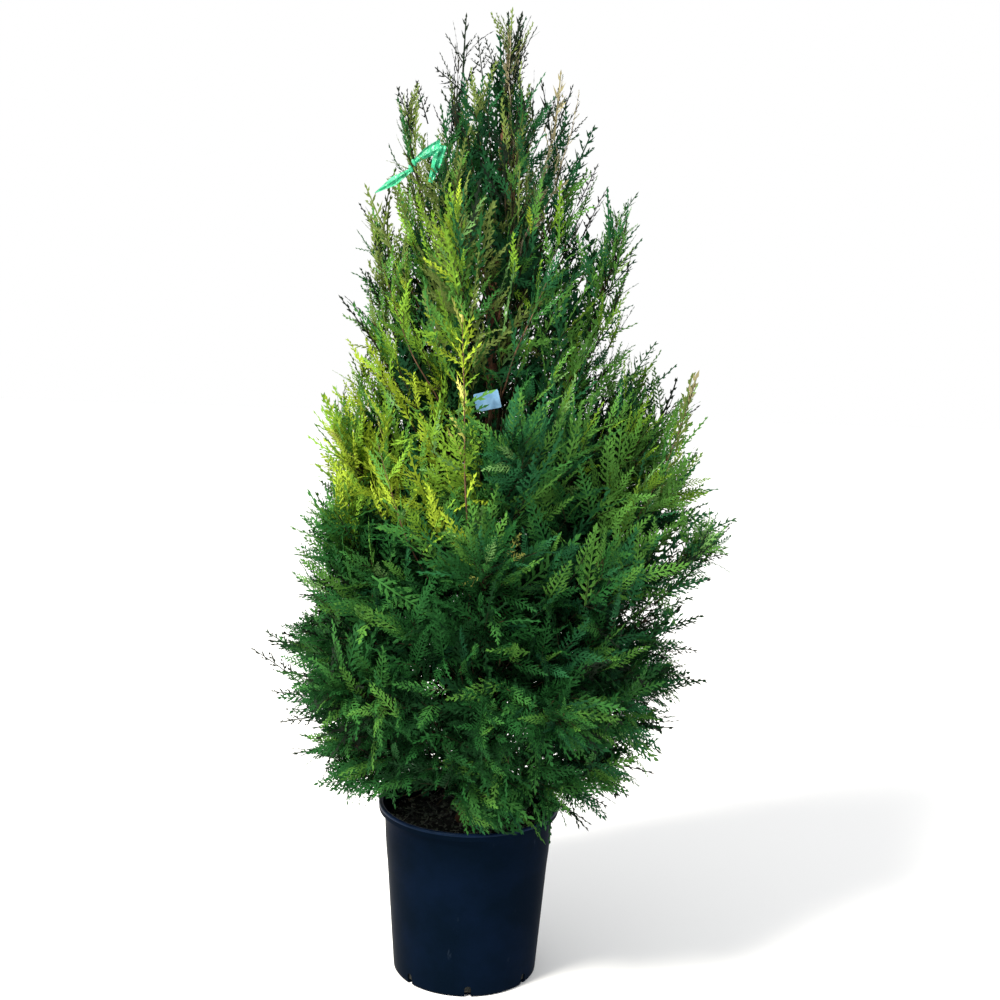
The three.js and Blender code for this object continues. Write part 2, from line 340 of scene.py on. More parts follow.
# the pot
pot = {
    "height": 0.329, "baseRadius": 0.133, "wallRadius": 0.155, "rimRadius": 0.166, "wall": 0.003,
    "lip": 0.015, "lipHighlight": 0.0055, "foot": 0.009, "steps": 112,
    "slots": 7, "slotWidth": 0.012, "slotHeight": 0.022, "slotReach": 0.022, "slotBearing": 274,
}


def potOutline():
    height, base, wallTop, rim = pot["height"], pot["baseRadius"], pot["wallRadius"], pot["rimRadius"]
    wall, foot, lipFoot = pot["wall"], pot["foot"], pot["height"] - pot["lip"]
    outer = [(0, 0.001), (base - foot - 0.002, 0.001), (base - foot, 0), (base - 0.25 * foot, 0.0015),
             (base - 0.06 * foot, 0.4 * foot), (base, foot)]
    for step in range(1, 13):  # the wall, with two faint steps where the mould's rings were
        share = step / 12
        ring = 0.0007 if step in (9, 10) else 0
        outer.append((lerp(base, wallTop, share) + ring, lerp(foot, lipFoot - 0.004, share)))
    outer += [(wallTop + 0.001, lipFoot - 0.001), (rim - 0.004, lipFoot), (rim - 0.001, lipFoot + 0.001)]
    for step in range(7):  # the rolled lip
        angle = lerp(-0.2, 2.9, step / 6)
        outer.append((rim - 0.0042 + 0.0042 * cos(angle), height - 0.0044 + 0.0044 * sin(angle)))
    inner = [(wallTop - 0.4 * wall, lipFoot + 0.002), (wallTop - wall, lipFoot - 0.004)]
    for share in (0.75, 0.5, 0.25, 0):
        inner.append((lerp(base, wallTop, share) - wall, lerp(foot, lipFoot, share)))
    inner += [(base - foot, wall), (0, wall)]
    return outer + inner


def makePot():
    bm = spun(potOutline(), pot["steps"])
    whole = bpy.data.objects.new("potWhole", meshFrom(bm, "potWhole"))
    bpy.context.collection.objects.link(whole)
    cutter = bmesh.new()
    half = pot["slotWidth"] / 2
    spring = pot["slotHeight"] - half
    for number in range(pot["slots"]):
        bearing = radians(pot["slotBearing"] + 360 * number / pot["slots"])
        turn = Matrix.Rotation(bearing, 4, "Z")
        place = Matrix.Translation((pot["baseRadius"], 0, spring / 2 - 0.005))
        size = Matrix.Diagonal((pot["slotReach"], 2 * half, spring + 0.01, 1))
        bmesh.ops.create_cube(cutter, size=1, matrix=turn @ place @ size)
        place = Matrix.Translation((pot["baseRadius"], 0, spring))
        bmesh.ops.create_cone(cutter, cap_ends=True, segments=20, radius1=half, radius2=half,
                              depth=pot["slotReach"], matrix=turn @ place @ Matrix.Rotation(pi / 2, 4, "Y"))
    tool = bpy.data.objects.new("slotTool", meshFrom(cutter, "slotTool"))
    bpy.context.collection.objects.link(tool)
    cut = whole.modifiers.new("slots", "BOOLEAN")
    cut.operation = "DIFFERENCE"
    cut.object = tool
    cut.solver = "EXACT"
    cut.use_self = True
    mesh = bpy.data.meshes.new_from_object(whole.evaluated_get(bpy.context.evaluated_depsgraph_get()))
    bpy.data.objects.remove(whole)
    bpy.data.objects.remove(tool)
    mesh.name = "potBody"
    mesh.set_sharp_from_angle(angle=radians(40))
    for face in mesh.polygons:  # the top of the rolled lip gets the lighter copy of the plastic: a painted highlight
        outward = hypot(face.center.x, face.center.y) > pot["wallRadius"] + 0.0005
        face.material_index = int(outward and face.center.z > pot["height"] - pot["lipHighlight"])
    addPiece("potBody", mesh, [potPlastic, potLipHighlight], ["pot"], "pot")


makePot()
print("pot made")

# the compost and what lies on it
compost = {"top": 0.291, "steps": 120, "rings": 34, "lump": 0.006, "grain": 0.0022, "level": 0.05,
           "gap": 0.0006, "bits": 420, "bitSize": (0.0015, 0.006)}
strands = table(("count", "length", "thick", "points"), (
    ("needle", 260, (0.006, 0.016), (0.0004, 0.0008), 3),
    ("root", 26, (0.03, 0.08), (0.0007, 0.0014), 7)))


def compostHeight(x, y):
    spot = Vector((x, y, 0))
    away = min(1, max(0, (spot.length - 0.02) / compost["level"]))
    broad = noise.noise(spot * 32) * compost["lump"] * away
    return compost["top"] - 0.001 + broad + noise.fractal(spot * 150, 0.8, 2.2, 3) * compost["grain"] * away


def makeCompost():
    wall = pot["wall"] + compost["gap"]
    edge = lerp(pot["baseRadius"], pot["wallRadius"], 0.88) - wall
    top = [(edge * step / compost["rings"], compost["top"]) for step in range(compost["rings"] + 1)]
    top.append((pot["baseRadius"] - wall, pot["foot"]))
    bm = spun(top + [(pot["baseRadius"] - pot["foot"] - wall, wall), (0, wall)], compost["steps"])
    for vert in bm.verts:
        if vert.co.z > compost["top"] - 1e-4:
            vert.co.z = compostHeight(vert.co.x, vert.co.y)
    addPiece("compostBody", meshFrom(bm, "compostBody"), [compostSoil], ["compost"], "compost")
    return edge


def spotInside(edge, widest, rng):
    radius, turn = edge * sqrt(rng.uniform(0.02, widest)), rng.uniform(0, 2 * pi)
    return radius * cos(turn), radius * sin(turn)


def makeLitter(edge):
    rng = np.random.default_rng(21)
    bm = bmesh.new()
    for _ in range(compost["bits"]):
        x, y = spotInside(edge, 0.96, rng)
        size = rng.uniform(*compost["bitSize"])
        place = Matrix.Translation((x, y, compostHeight(x, y) + 0.2 * size))
        turn = Matrix.Rotation(rng.uniform(0, pi), 4, Vector(rng.normal(size=3)).normalized())
        shape = Matrix.Diagonal((size, size * rng.uniform(0.4, 0.9), size * rng.uniform(0.2, 0.5), 1))
        bmesh.ops.create_icosphere(bm, subdivisions=1, radius=1, matrix=place @ turn @ shape)
    addPiece("compostBits", meshFrom(bm, "compostBits", False), [litterSkin], [], "compost")
    runs = []
    for strand in [strand for strand in strands.values() for _ in range(strand["count"])]:
        x, y = spotInside(edge, 0.9, rng)
        course = rng.uniform(0, 2 * pi)
        length, thick = rng.uniform(*strand["length"]), rng.uniform(*strand["thick"])
        run = []
        for _ in range(strand["points"]):
            if x * x + y * y > (edge - 0.004) ** 2:
                break
            run.append(((x, y, compostHeight(x, y) + thick), thick))
            course += rng.normal(0, 0.35)
            x += cos(course) * length / (strand["points"] - 1)
            y += sin(course) * length / (strand["points"] - 1)
        if len(run) > 1:
            runs.append(run)
    addPiece("compostRoots", tubes("compostRoots", runs, 4), [litterSkin], [], "compost")


makeLitter(makeCompost())
print("compost made")

# the trunk and its boughs
trunk = {"foot": 0.291, "top": 1.667, "lean": 0.038, "sway": 0.008, "baseRadius": 0.017, "tipRadius": 0.0025,
         "flare": 0.008, "flareHeight": 0.026, "ridge": 0.0016, "furrows": (260, 42), "grain": (620, 160)}
boughs = {"share": 0.52, "taper": 0.55, "intoMass": 0.035, "frontNarrower": 0.06, "frontReachWave": 0.05,
          "frontTipWave": 0.026}

# Boughs leave the trunk turn degrees from the right, from the height leave on, step apart. reach and
# tip are for the right and the left side, bend is how far out and up a bough turns, and start is how
# far along it its mass begins.
tiers = table(("count", "turn", "leave", "step", "reach", "tip", "bend", "start"), (
    ("skirt", 4, -8, 0.356, 0.008, (0.298, 0.298), (0.340, 0.346), (0.62, 0.36), 0.20),
    ("low", 5, 8, 0.430, 0.014, (0.430, 0.440), (0.575, 0.612), (0.52, 0.34), 0.18),
    ("shoulder", 5, -16, 0.565, 0.016, (0.472, 0.300), (0.892, 0.938), (0.6, 0.38), 0.16),
    ("flank", 4, 12, 0.690, 0.020, (0.394, 0.282), (1.128, 1.080), (0.62, 0.5), 0.16),
    ("upper", 4, -14, 0.835, 0.022, (0.252, 0.208), (1.438, 1.424), (0.68, 0.9), 0.14),
    ("crest", 4, 20, 1.097, 0.024, (0.154, 0.160), (1.602, 1.606), (0.66, 0.95), 0.18),
    ("spire", 1, 190, 1.257, 0, (0.060, 0.062), (1.703, 1.703), (1, 2), 0.22)))
leader = {"from": 1.297, "tip": 1.734, "lean": 0.046}


def trunkMiddle(z):
    share = (z - trunk["foot"]) / (trunk["top"] - trunk["foot"])
    x = trunk["lean"] * max(share, 0) ** 1.5 + trunk["sway"] * sin(5.2 * share)
    return Vector((x, trunk["sway"] * sin(3.4 * share), z))


def trunkRadius(z):
    share = (z - trunk["foot"]) / (trunk["top"] - trunk["foot"])
    flare = trunk["flare"] * exp(-(z - trunk["foot"]) / trunk["flareHeight"])
    return lerp(trunk["baseRadius"], trunk["tipRadius"], share) + flare


def bent(points, share):
    root, bend, tip = points
    return root * (1 - share) ** 2 + bend * (2 * share * (1 - share)) + tip * share ** 2


def heading(points, share):
    root, bend, tip = points
    return ((bend - root) * (1 - share) + (tip - bend) * share).normalized()


def makeLimbs():
    limbs = []
    for level, (name, tier) in enumerate(tiers.items()):
        for number in range(tier["count"]):
            bearing = radians(tier["turn"] + number * 360 / tier["count"])
            out = Vector((cos(bearing), sin(bearing), 0))
            wave = sin(2.4 * number + 1.7 * level)
            leftness, depth = (1 - out.x) / 2, out.y ** 2
            narrower = depth * (boughs["frontNarrower"] + boughs["frontReachWave"] * wave)
            tip = out * (lerp(*tier["reach"], leftness) * (1 - narrower))
            tip.z = lerp(*tier["tip"], leftness) + boughs["frontTipWave"] * depth * wave
            root = trunkMiddle(tier["leave"] + tier["step"] * ((2 * number + 1) % tier["count"]))
            run = (tip - root).xy.length
            bend = root + out * tier["bend"][0] * run + up * tier["bend"][1] * run
            limbs.append({"tier": name, "node": f"{name}_{number + 1}", "line": (root, bend, tip),
                          "start": tier["start"], "out": out})
    middle = trunkMiddle((leader["from"] + leader["tip"]) / 2)
    line = trunkMiddle(leader["from"]), middle, Vector((leader["lean"], 0, leader["tip"]))
    limbs.append({"tier": "leader", "node": "leader", "line": line, "start": 0.02,
                  "out": Vector((0.5, -1, 0)).normalized()})
    return limbs


def makeTrunkAndBoughs(limbs):
    heights = np.linspace(trunk["foot"] - 0.006, trunk["top"], 150)
    runs = [[(trunkMiddle(z), trunkRadius(z)) for z in heights]]
    for limb in limbs[:-1]:
        thick = trunkRadius(limb["line"][0].z) * boughs["share"]
        end = limb["start"] + boughs["intoMass"]
        shares = np.linspace(0, end, 16)
        runs.append([(bent(limb["line"], s), thick * lerp(1, boughs["taper"], s / end)) for s in shares])
    mesh = tubes("barkLimbs", runs, 14)
    bm = bmesh.new()
    bm.from_mesh(mesh)
    bm.normal_update()
    for vert in bm.verts:
        place = vert.co
        furrow, grain = [noise.noise(Vector((place.x * across, place.y * across, place.z * along)))
                         for across, along in (trunk["furrows"], trunk["grain"])]
        near = min(1, (place - trunkMiddle(place.z)).length / 0.004)
        vert.co = place + vert.normal * trunk["ridge"] * near * (0.8 * furrow + 0.35 * grain)
    bm.to_mesh(mesh)
    bm.free()
    for face in mesh.polygons:
        face.use_smooth = True
    replaced = ["trunk"] + ["bough_" + limb["node"] for limb in limbs[:-1]]
    addPiece("barkLimbs", mesh, [barkSkin], replaced, "bark")


limbs = makeLimbs()
makeTrunkAndBoughs(limbs)
print("trunk and boughs made:", len(limbs) - 1)

# A spray lies in its own plane with its stalk along +Y. side counts its side twigs, which leave at
# angle and bend inwards by curl. width and bare are shares of its length. gap is between leaves along a
# side twig, leaf is a leaf's length and width in metres, and fan is how far a leaf turns off its twig.
# twig and stalk are widths, and shapes counts the different sprays made of a kind.
sprays = table(
    ("length", "side", "width", "angle", "gap", "leaf", "fan", "curl", "twig", "stalk", "shapes", "bare"), (
        ("wide", 0.17, 19, 0.30, 50, 0.0082, (0.0135, 0.0048), (17, 30), 14, 0.0056, 0.0042, 9, 0.08),
        ("slender", 0.14, 16, 0.25, 42, 0.0082, (0.0130, 0.0046), (18, 32), 14, 0.0052, 0.0040, 8, 0.06),
        ("shoot", 0.14, 11, 0.21, 38, 0.0105, (0.0120, 0.0046), (24, 36), 14, 0.0054, 0.0044, 7, 0.10),
        ("finger", 0.045, 5, 0.30, 38, 0.050, (0.0130, 0.0044), (24, 36), 14, 0.0044, 0.0036, 5, 0.20),
        ("comb", 0.14, 10, 0.36, 48, 0.0100, (0.0120, 0.0044), (26, 38), 16, 0.0042, 0.0040, 6, 0.14),
        ("antler", 0.11, 5, 0.40, 36, 0.0140, (0.0110, 0.0040), (26, 38), 14, 0.0038, 0.0038, 5, 0.26),
        ("coarse", 0.16, 11, 0.34, 48, 0.0120, (0.0240, 0.0100), (28, 40), 14, 0.0090, 0.0050, 5, 0.04)))
leafWidest = 0.36  # where along its length a leaf is widest


def addLeaf(bm, place, turn, tilt, length, width):  # turn is the leaf's heading from +Y
    leaf = bmesh.ops.create_circle(bm, cap_ends=True, segments=4, radius=0.5)["verts"]
    for vert in leaf:
        if abs(vert.co.x) > 0.1:
            vert.co.y = leafWidest - 0.5
    matrix = (Matrix.Translation(place) @ Matrix.Rotation(turn, 4, "Z") @ Matrix.Rotation(tilt, 4, "Y")
              @ Matrix.Diagonal((width, length, 1, 1)) @ Matrix.Translation((0, 0.46, 0)))
    bmesh.ops.transform(bm, matrix=matrix, verts=leaf)


def makeSpray(kind, rng):
    bm = bmesh.new()
    whole, leafLength, leafWidth = kind["length"], *kind["leaf"]
    stalk = bmesh.ops.create_grid(bm, x_segments=1, y_segments=6, size=0.5, matrix=Matrix.Diagonal(
        (kind["stalk"], whole, 1, 1)) @ Matrix.Translation((0, 0.5, 0)))
    for vert in stalk["verts"]:
        vert.co.x *= 1 - 0.5 * vert.co.y / whole
    for number in range(kind["side"]):
        share = kind["bare"] + (1 - kind["bare"]) * (number + rng.uniform(-0.25, 0.25)) / kind["side"]
        hand = 1 if number % 2 else -1
        rise = min(1, (share - kind["bare"] + 0.14) / 0.30)
        reach = whole * kind["width"] * rise * (1.04 - share) ** 0.75 * rng.uniform(0.78, 1.15)
        reach = max(reach, 0.8 * leafLength)
        angle = hand * radians(kind["angle"] + rng.normal(0, 4) - 12 * share)
        place = Vector((0, share * whole, 0))
        tilt = rng.normal(0, 0.25)
        addLeaf(bm, place, -0.94 * angle, tilt, reach * 1.06, kind["twig"])
        count = int(reach / kind["gap"])
        for leaf in range(1, count + 1):
            angle -= hand * radians(kind["curl"] / count)
            place = place + Vector((sin(angle), cos(angle), 0)) * kind["gap"] * (0.55 if leaf == 1 else 1)
            place.z = rng.normal(0, 0.0008)
            fan = radians(rng.uniform(*kind["fan"])) * (1 if leaf % 2 else -1)
            shrink = 1.12 - 0.5 * leaf / (count + 0.5)
            addLeaf(bm, place, -angle - fan, tilt + rng.normal(0, 0.25),
                    leafLength * shrink * rng.uniform(0.8, 1.15), leafWidth * rng.uniform(0.85, 1.1))
    addLeaf(bm, Vector((0, 0.94 * whole, 0)), 0, 0, leafLength, leafWidth)
    bmesh.ops.triangulate(bm, faces=bm.faces)
    bm.verts.index_update()
    spots = np.array([vert.co for vert in bm.verts])
    corners = np.array([[vert.index for vert in face.verts] for face in bm.faces])
    bm.free()
    return spots, corners


shapeRng = np.random.default_rng(5)
shapes = {name: [makeSpray(kind, shapeRng) for _ in range(kind["shapes"])] for name, kind in sprays.items()}
for name, made in shapes.items():
    print("spray", name, [len(corners) for _, corners in made])

# The crown's branching rule by tier. lift: how a side branch sags (-) or turns up (+); rise: how a
# spray turns up; bow: a spray's bend; face: 0 lies flat, 1 faces out; loose: how much that varies;
# gap: between pairs of sprays; lean: a spray's angle off its branch; shoots: the share of sprays at the
# crown's edge that are shoots; branches: side branches on a bough; lag: how much further along the
# bough a branch's end lies; hold: how far it ends inside the mass, in spray lengths; spread: the
# branches' angle off the bough at its start and its end
growth = table(
    ("spray", "kind", "lift", "rise", "bow", "face", "loose", "gap", "lean", "shoots",
     "branches", "lag", "hold", "spread"), (
        ("skirt", 0.150, "wide", -0.04, 0.05, 0.55, 0.60, 0.38, 0.036, 50, 0.25, 25, 0.06, 0.45, (84, 38)),
        ("low", 0.165, "wide", 0.0, 0.12, 0.5, 0.65, 0.38, 0.040, 50, 0.25, 38, 0.06, 0.50, (84, 38)),
        ("shoulder", 0.160, "wide", 0.12, 0.22, 0.35, 0.70, 0.45, 0.040, 48, 0.25, 40, 0.07, 0.45, (80, 36)),
        ("flank", 0.150, "wide", 0.20, 0.35, 0.3, 0.70, 0.6, 0.038, 44, 0.3, 40, 0.08, 0.38, (75, 32)),
        ("upper", 0.130, "slender", 0.25, 0.34, 0.1, 0.75, 0.8, 0.036, 44, 0.22, 38, 0.10, 0.25, (70, 34)),
        ("crest", 0.115, "slender", 0.25, 0.36, 0.0, 0.75, 0.8, 0.038, 42, 0.45, 20, 0.10, 0.2, (66, 30)),
        ("spire", 0.110, "shoot", 0.25, 0.5, 0.0, 0.75, 0.9, 0.040, 36, 0.9, 8, 0.10, 0.2, (60, 24)),
        ("leader", 0.115, "slender", 0.25, 0.5, 0.0, 0.75, 0.9, 0.040, 36, 0.85, 18, 0.08, 0.2, (60, 24)),
        ("fillLow", 0.165, "wide", -0.02, 0.1, 0.5, 0.65, 0.4, 0.040, 50, 0.2),
        ("fillMiddle", 0.155, "wide", 0.1, 0.25, 0.3, 0.7, 0.5, 0.038, 46, 0.25),
        ("fillHigh", 0.125, "slender", 0.2, 0.4, 0.1, 0.75, 0.8, 0.036, 42, 0.22)))
goldenTurn = radians(137.5)
# a bough's radius inside its mass by the kind of its sprays, and a side branch's share of it
boughRadius = {"wide": 0.0036, "slender": 0.0024, "shoot": 0.0024, "tip": 0.0008}
branchRadius = {"share": 0.34, "tip": 0.0005}


def surfaceOf(names):
    spots, faces = [], []
    for name in names:
        mesh = nodes[name].data
        first = len(spots)
        spots += [vert.co.copy() for vert in mesh.vertices]
        faces += [[first + corner for corner in face.vertices] for face in mesh.polygons]
    return BVHTree.FromPolygons(spots, faces)


crownSurface = surfaceOf([name for name in nodes if name.startswith("mass_")])


def farthestHit(place, way):
    travelled, start = 0, place
    for _ in range(12):
        hit = crownSurface.ray_cast(start, way)
        if hit[0] is None:
            break
        travelled += hit[3] + 1e-4
        start = hit[0] + way * 1e-4
    return travelled


# how far the crown is filled out from the upright axis at each height, between the plumes too
fullness = {
    "left": ((0.31, 0.17), (0.40, 0.29), (0.50, 0.33), (0.58, 0.325), (0.65, 0.325), (0.72, 0.315),
             (0.80, 0.315), (0.93, 0.285), (1.00, 0.255), (1.10, 0.250), (1.25, 0.225), (1.38, 0.170),
             (1.50, 0.165), (1.60, 0.065), (1.74, 0.02)),
    "right": ((0.31, 0.22), (0.37, 0.28), (0.45, 0.35), (0.55, 0.375), (0.65, 0.380), (0.70, 0.355),
              (0.76, 0.305), (0.83, 0.350), (0.90, 0.400), (0.97, 0.410), (1.04, 0.335), (1.10, 0.275),
              (1.17, 0.240), (1.36, 0.225), (1.44, 0.210), (1.50, 0.160), (1.60, 0.075), (1.74, 0.04)),
    "front": ((0.31, 0.20), (0.45, 0.30), (0.60, 0.33), (0.80, 0.32), (0.95, 0.26), (1.08, 0.19),
              (1.25, 0.17), (1.45, 0.14), (1.60, 0.07), (1.74, 0.02)),
}
hull = {"low": 0.31, "high": 1.79, "levels": 50, "bearings": 36, "besides": 4, "above": 2,
        "sideLoss": 0.05, "levelLoss": 0.10}


def fullReach(z, bearing):
    side, front = cos(bearing), sin(bearing)
    across = np.interp(z, *zip(*fullness["right" if side > 0 else "left"]))
    return across * side ** 2 + np.interp(z, *zip(*fullness["front"])) * front ** 2 - trunkMiddle(z).x * side


def makeHull():  # the crown's reach from the trunk by level and bearing
    levels = np.linspace(hull["low"], hull["high"], hull["levels"])
    turns = np.arange(hull["bearings"]) * 2 * pi / hull["bearings"]
    ways = [Vector((cos(turn), sin(turn), 0)) for turn in turns]
    own = np.array([[farthestHit(trunkMiddle(z), way) for way in ways] for z in levels])
    filled = np.maximum(own, [[fullReach(z, turn) for turn in turns] for z in levels])
    for rise in range(-hull["above"], hull["above"] + 1):
        for aside in range(-hull["besides"], hull["besides"] + 1):
            moved = np.roll(own, (rise, aside), axis=(0, 1))
            if rise > 0:
                moved[:rise] = 0
            if rise < 0:
                moved[rise:] = 0
            loss = hull["sideLoss"] * abs(aside) + hull["levelLoss"] * abs(rise)
            filled = np.maximum(filled, moved * (1 - loss))
    return filled


reaches = makeHull()


def hullReach(z, bearing):
    level = (z - hull["low"]) / (hull["high"] - hull["low"]) * (hull["levels"] - 1)
    if level < 0 or level > hull["levels"] - 1:
        return 0
    side = (bearing / (2 * pi) * hull["bearings"]) % hull["bearings"]
    below, left = min(int(level), hull["levels"] - 2), int(side) % hull["bearings"]
    right = (left + 1) % hull["bearings"]
    lower = lerp(reaches[below, left], reaches[below, right], side - int(side))
    upper = lerp(reaches[below + 1, left], reaches[below + 1, right], side - int(side))
    return lerp(lower, upper, level - below)


def beyondHull(place):
    away = place - trunkMiddle(place.z)
    return away.xy.length - hullReach(place.z, atan2(away.y, away.x))


# how far leaves may pass the CAD model's box to each side and above
boxSpare = [0.03 * (high - low) + 0.004 for low, high in zip(*cadBox)][:2] + [0.004]


def outsideBox(place):
    return any(spot < low - spare or spot > high + spare
               for spot, low, high, spare in zip(place, *cadBox, boxSpare))


# the label and the tape
label = {"middle": (0.014, -0.176, 1.103), "width": 0.042, "height": 0.031, "thick": 0.0007, "tilt": -14,
         "corner": 0.0025, "curl": 0.0022, "steps": 8, "twig": 0.0030}
tape = {"depth": -0.074, "thick": 0.0004, "fold": 0.0035, "steps": 12, "lanes": 5, "bands": (
    (((-0.122, 1.484), (-0.100, 1.501), (-0.076, 1.5125)), (0.006, 0.016, 0.023)),
    (((-0.0765, 1.5145), (-0.0835, 1.486), (-0.0935, 1.453)), (0.018, 0.016, 0.007)),
    (((-0.127, 1.4715), (-0.155, 1.4525), (-0.1855, 1.4325)), (0.006, 0.015, 0.001))),
        "knot": ((-0.126, 1.474), (-0.121, 1.484)), "knotTurn": 58, "knotRadius": 0.0045}

# lines of sight to these places are kept open: the place, the radius and the share of sprays left out
openings = [(label["middle"], 0.036, 1.0)]
openings += [((x, y, 0.295), 0.036, 1.0) for y in (-0.12, -0.06, 0.0, 0.05) for x in (-0.12, -0.09, -0.06)]
openings += [((x, tape["depth"], z), 0.012, 0.9) for line, _ in tape["bands"] for x, z in line]
# where the sky shows between the shoots: place across and height at the trunk's depth, and size
skyGaps = (
    (0.002, 1.685, 0.018), (-0.034, 1.658, 0.012), (-0.084, 1.646, 0.020), (-0.094, 1.603, 0.018),
    (-0.104, 1.550, 0.014), (0.070, 1.638, 0.020), (0.082, 1.585, 0.014), (0.091, 1.526, 0.015),
    (0.137, 1.567, 0.018), (0.142, 1.517, 0.014), (0.174, 1.441, 0.020), (-0.171, 1.393, 0.018),
    (-0.152, 1.369, 0.014), (-0.190, 1.300, 0.014), (0.338, 1.117, 0.034), (0.329, 1.081, 0.018),
    (0.290, 1.169, 0.024), (0.333, 0.803, 0.022), (0.357, 0.816, 0.020), (0.274, 0.685, 0.018),
    (0.324, 0.717, 0.020), (0.390, 0.738, 0.024), (0.357, 0.673, 0.018), (0.396, 0.618, 0.020),
    (0.357, 0.529, 0.018), (-0.314, 0.696, 0.018), (-0.339, 0.564, 0.020), (-0.312, 0.465, 0.020),
    (0.260, 0.336, 0.022), (-0.069, 0.465, 0.015), (-0.085, 0.426, 0.015), (0.049, 0.557, 0.015),
    (0.116, 0.556, 0.015), (0.088, 0.474, 0.015), (0.161, 0.419, 0.015), (0.188, 0.619, 0.015),
    (-0.057, 0.546, 0.015), (0.171, 1.402, 0.016), (0.197, 1.385, 0.016), (0.131, 1.323, 0.014),
    (0.222, 1.283, 0.016), (0.159, 1.269, 0.012), (0.108, 1.374, 0.013), (0.112, 1.442, 0.013))
openings += [(Vector(view["place"]).lerp(Vector((x, 0, z)), 1.16), size, 0.9) for x, z, size in skyGaps]


def crossesSight(points, place, radius):
    sight = (Vector(view["place"]) - Vector(place)).normalized()
    for point in points:
        away = point - Vector(place)
        ahead = away.dot(sight)
        if ahead > -0.02 and (away - sight * ahead).length < radius:
            return True
    return False


def hidesSomething(base, tip, rng):
    points = [base.lerp(tip, part) for part in (0.2, 0.5, 0.8, 1.0)]
    for place, radius, share in openings:
        if crossesSight(points, place, radius):
            return rng.uniform() < share
    return False


def hangsTooLow(place):  # over the pot's front the leaves end above the rim, higher on its left
    raised = np.interp(place.x, (-0.20, -0.14, -0.03, 0.03), (0, 1, 1, 0))
    return place.z < fill["lowest"] + raised * max(0, 0.03 - 0.32 * place.y)


def plateau(value, low, high, edge):  # 1 between low and high, falling to 0 over an edge on either side
    return max(0, min(1, (value - low) / edge + 1)) * max(0, min(1, (high - value) / edge + 1))


# parts of the crown where sprays are dealt sunnier or shadier tints, partly painted sunlight and shade and
# partly the leaves' own tone: across and height, each as from, to and the edge's width
everywhere = (-1, 1, 1)
zones = {
    "sunlit": ((-0.30, -0.055, 0.08), (0.965, 1.17, 0.09)),
    "aboveSunlit": ((-0.30, -0.055, 0.08), (1.1, 1.42, 0.08)),
    "crownTop": ((-0.16, -0.02, 0.07), (1.25, 1.52, 0.12)),
    "rightEdge": ((0.27, 0.5, 0.09), (0.80, 1.15, 0.10)),
    "airyRight": ((0.14, 0.42, 0.05), (0.93, 1.20, 0.08)),
    "airyAbove": ((0.04, 0.30, 0.04), (1.20, 1.48, 0.06)),
    "thinRight": ((0.25, 0.5, 0.05), (0.40, 0.80, 0.10)),
    "thinLeft": ((-0.40, -0.22, 0.05), (0.78, 0.95, 0.06)),
    "low": (everywhere, (0.2, 0.66, 0.16)),
    "high": (everywhere, (0.98, 2, 0.14)),
    "warm": ((-0.2, 0.05, 0.06), (1.30, 2, 0.12)),
}
# how much each zone adds to a spray's sunniness; inside is the painted shade of sprays deep in the crown
tone = {"plain": 0.33, "sunlit": 0.54, "aboveSunlit": 0.24, "crownTop": 0.18, "rightEdge": 0.09,
        "airy": 0.25, "thin": 0.10, "low": -0.05, "patch": 0.35, "inside": 0.5, "airyInside": 0.25,
        "highInside": 0.16}


def toneAt(place, outside):  # how sunny leaves are, from 0 in the shade to 1, how blue and how olive
    share = {name: plateau(place.x, *across) * plateau(place.z, *height)
             for name, (across, height) in zones.items()}
    patch = noise.noise(place * 7) * 0.5 + noise.noise(place * 19) * 0.3
    airy = max(share["airyRight"], share["airyAbove"])
    sunny = tone["plain"] + tone["patch"] * patch + tone["airy"] * airy
    sunny += tone["sunlit"] * max(share["sunlit"], tone["aboveSunlit"] * share["aboveSunlit"])
    sunny += tone["thin"] * max(share["thinRight"], share["thinLeft"])
    sunny += sum(tone[name] * share[name] for name in ("crownTop", "rightEdge", "low"))
    # sprays deep inside the crown are dealt darker tints, less so in the airy zones and high up: painted
    # shade
    inside = tone["inside"] - max(tone["airyInside"] * airy, tone["highInside"] * share["high"])
    blue = 0.30 + 0.9 * place.x + 0.4 * (place.z - 1.0) + patch * 0.4
    return sunny - inside * (1 - outside), blue, share["warm"]


# a tint is used from this level of sunniness on
tintLevels = {"sun": 0.80, "lime": 0.62, "fresh": 0.46, "mid": 0.31, "sea": 0.18, "deep": 0.10}


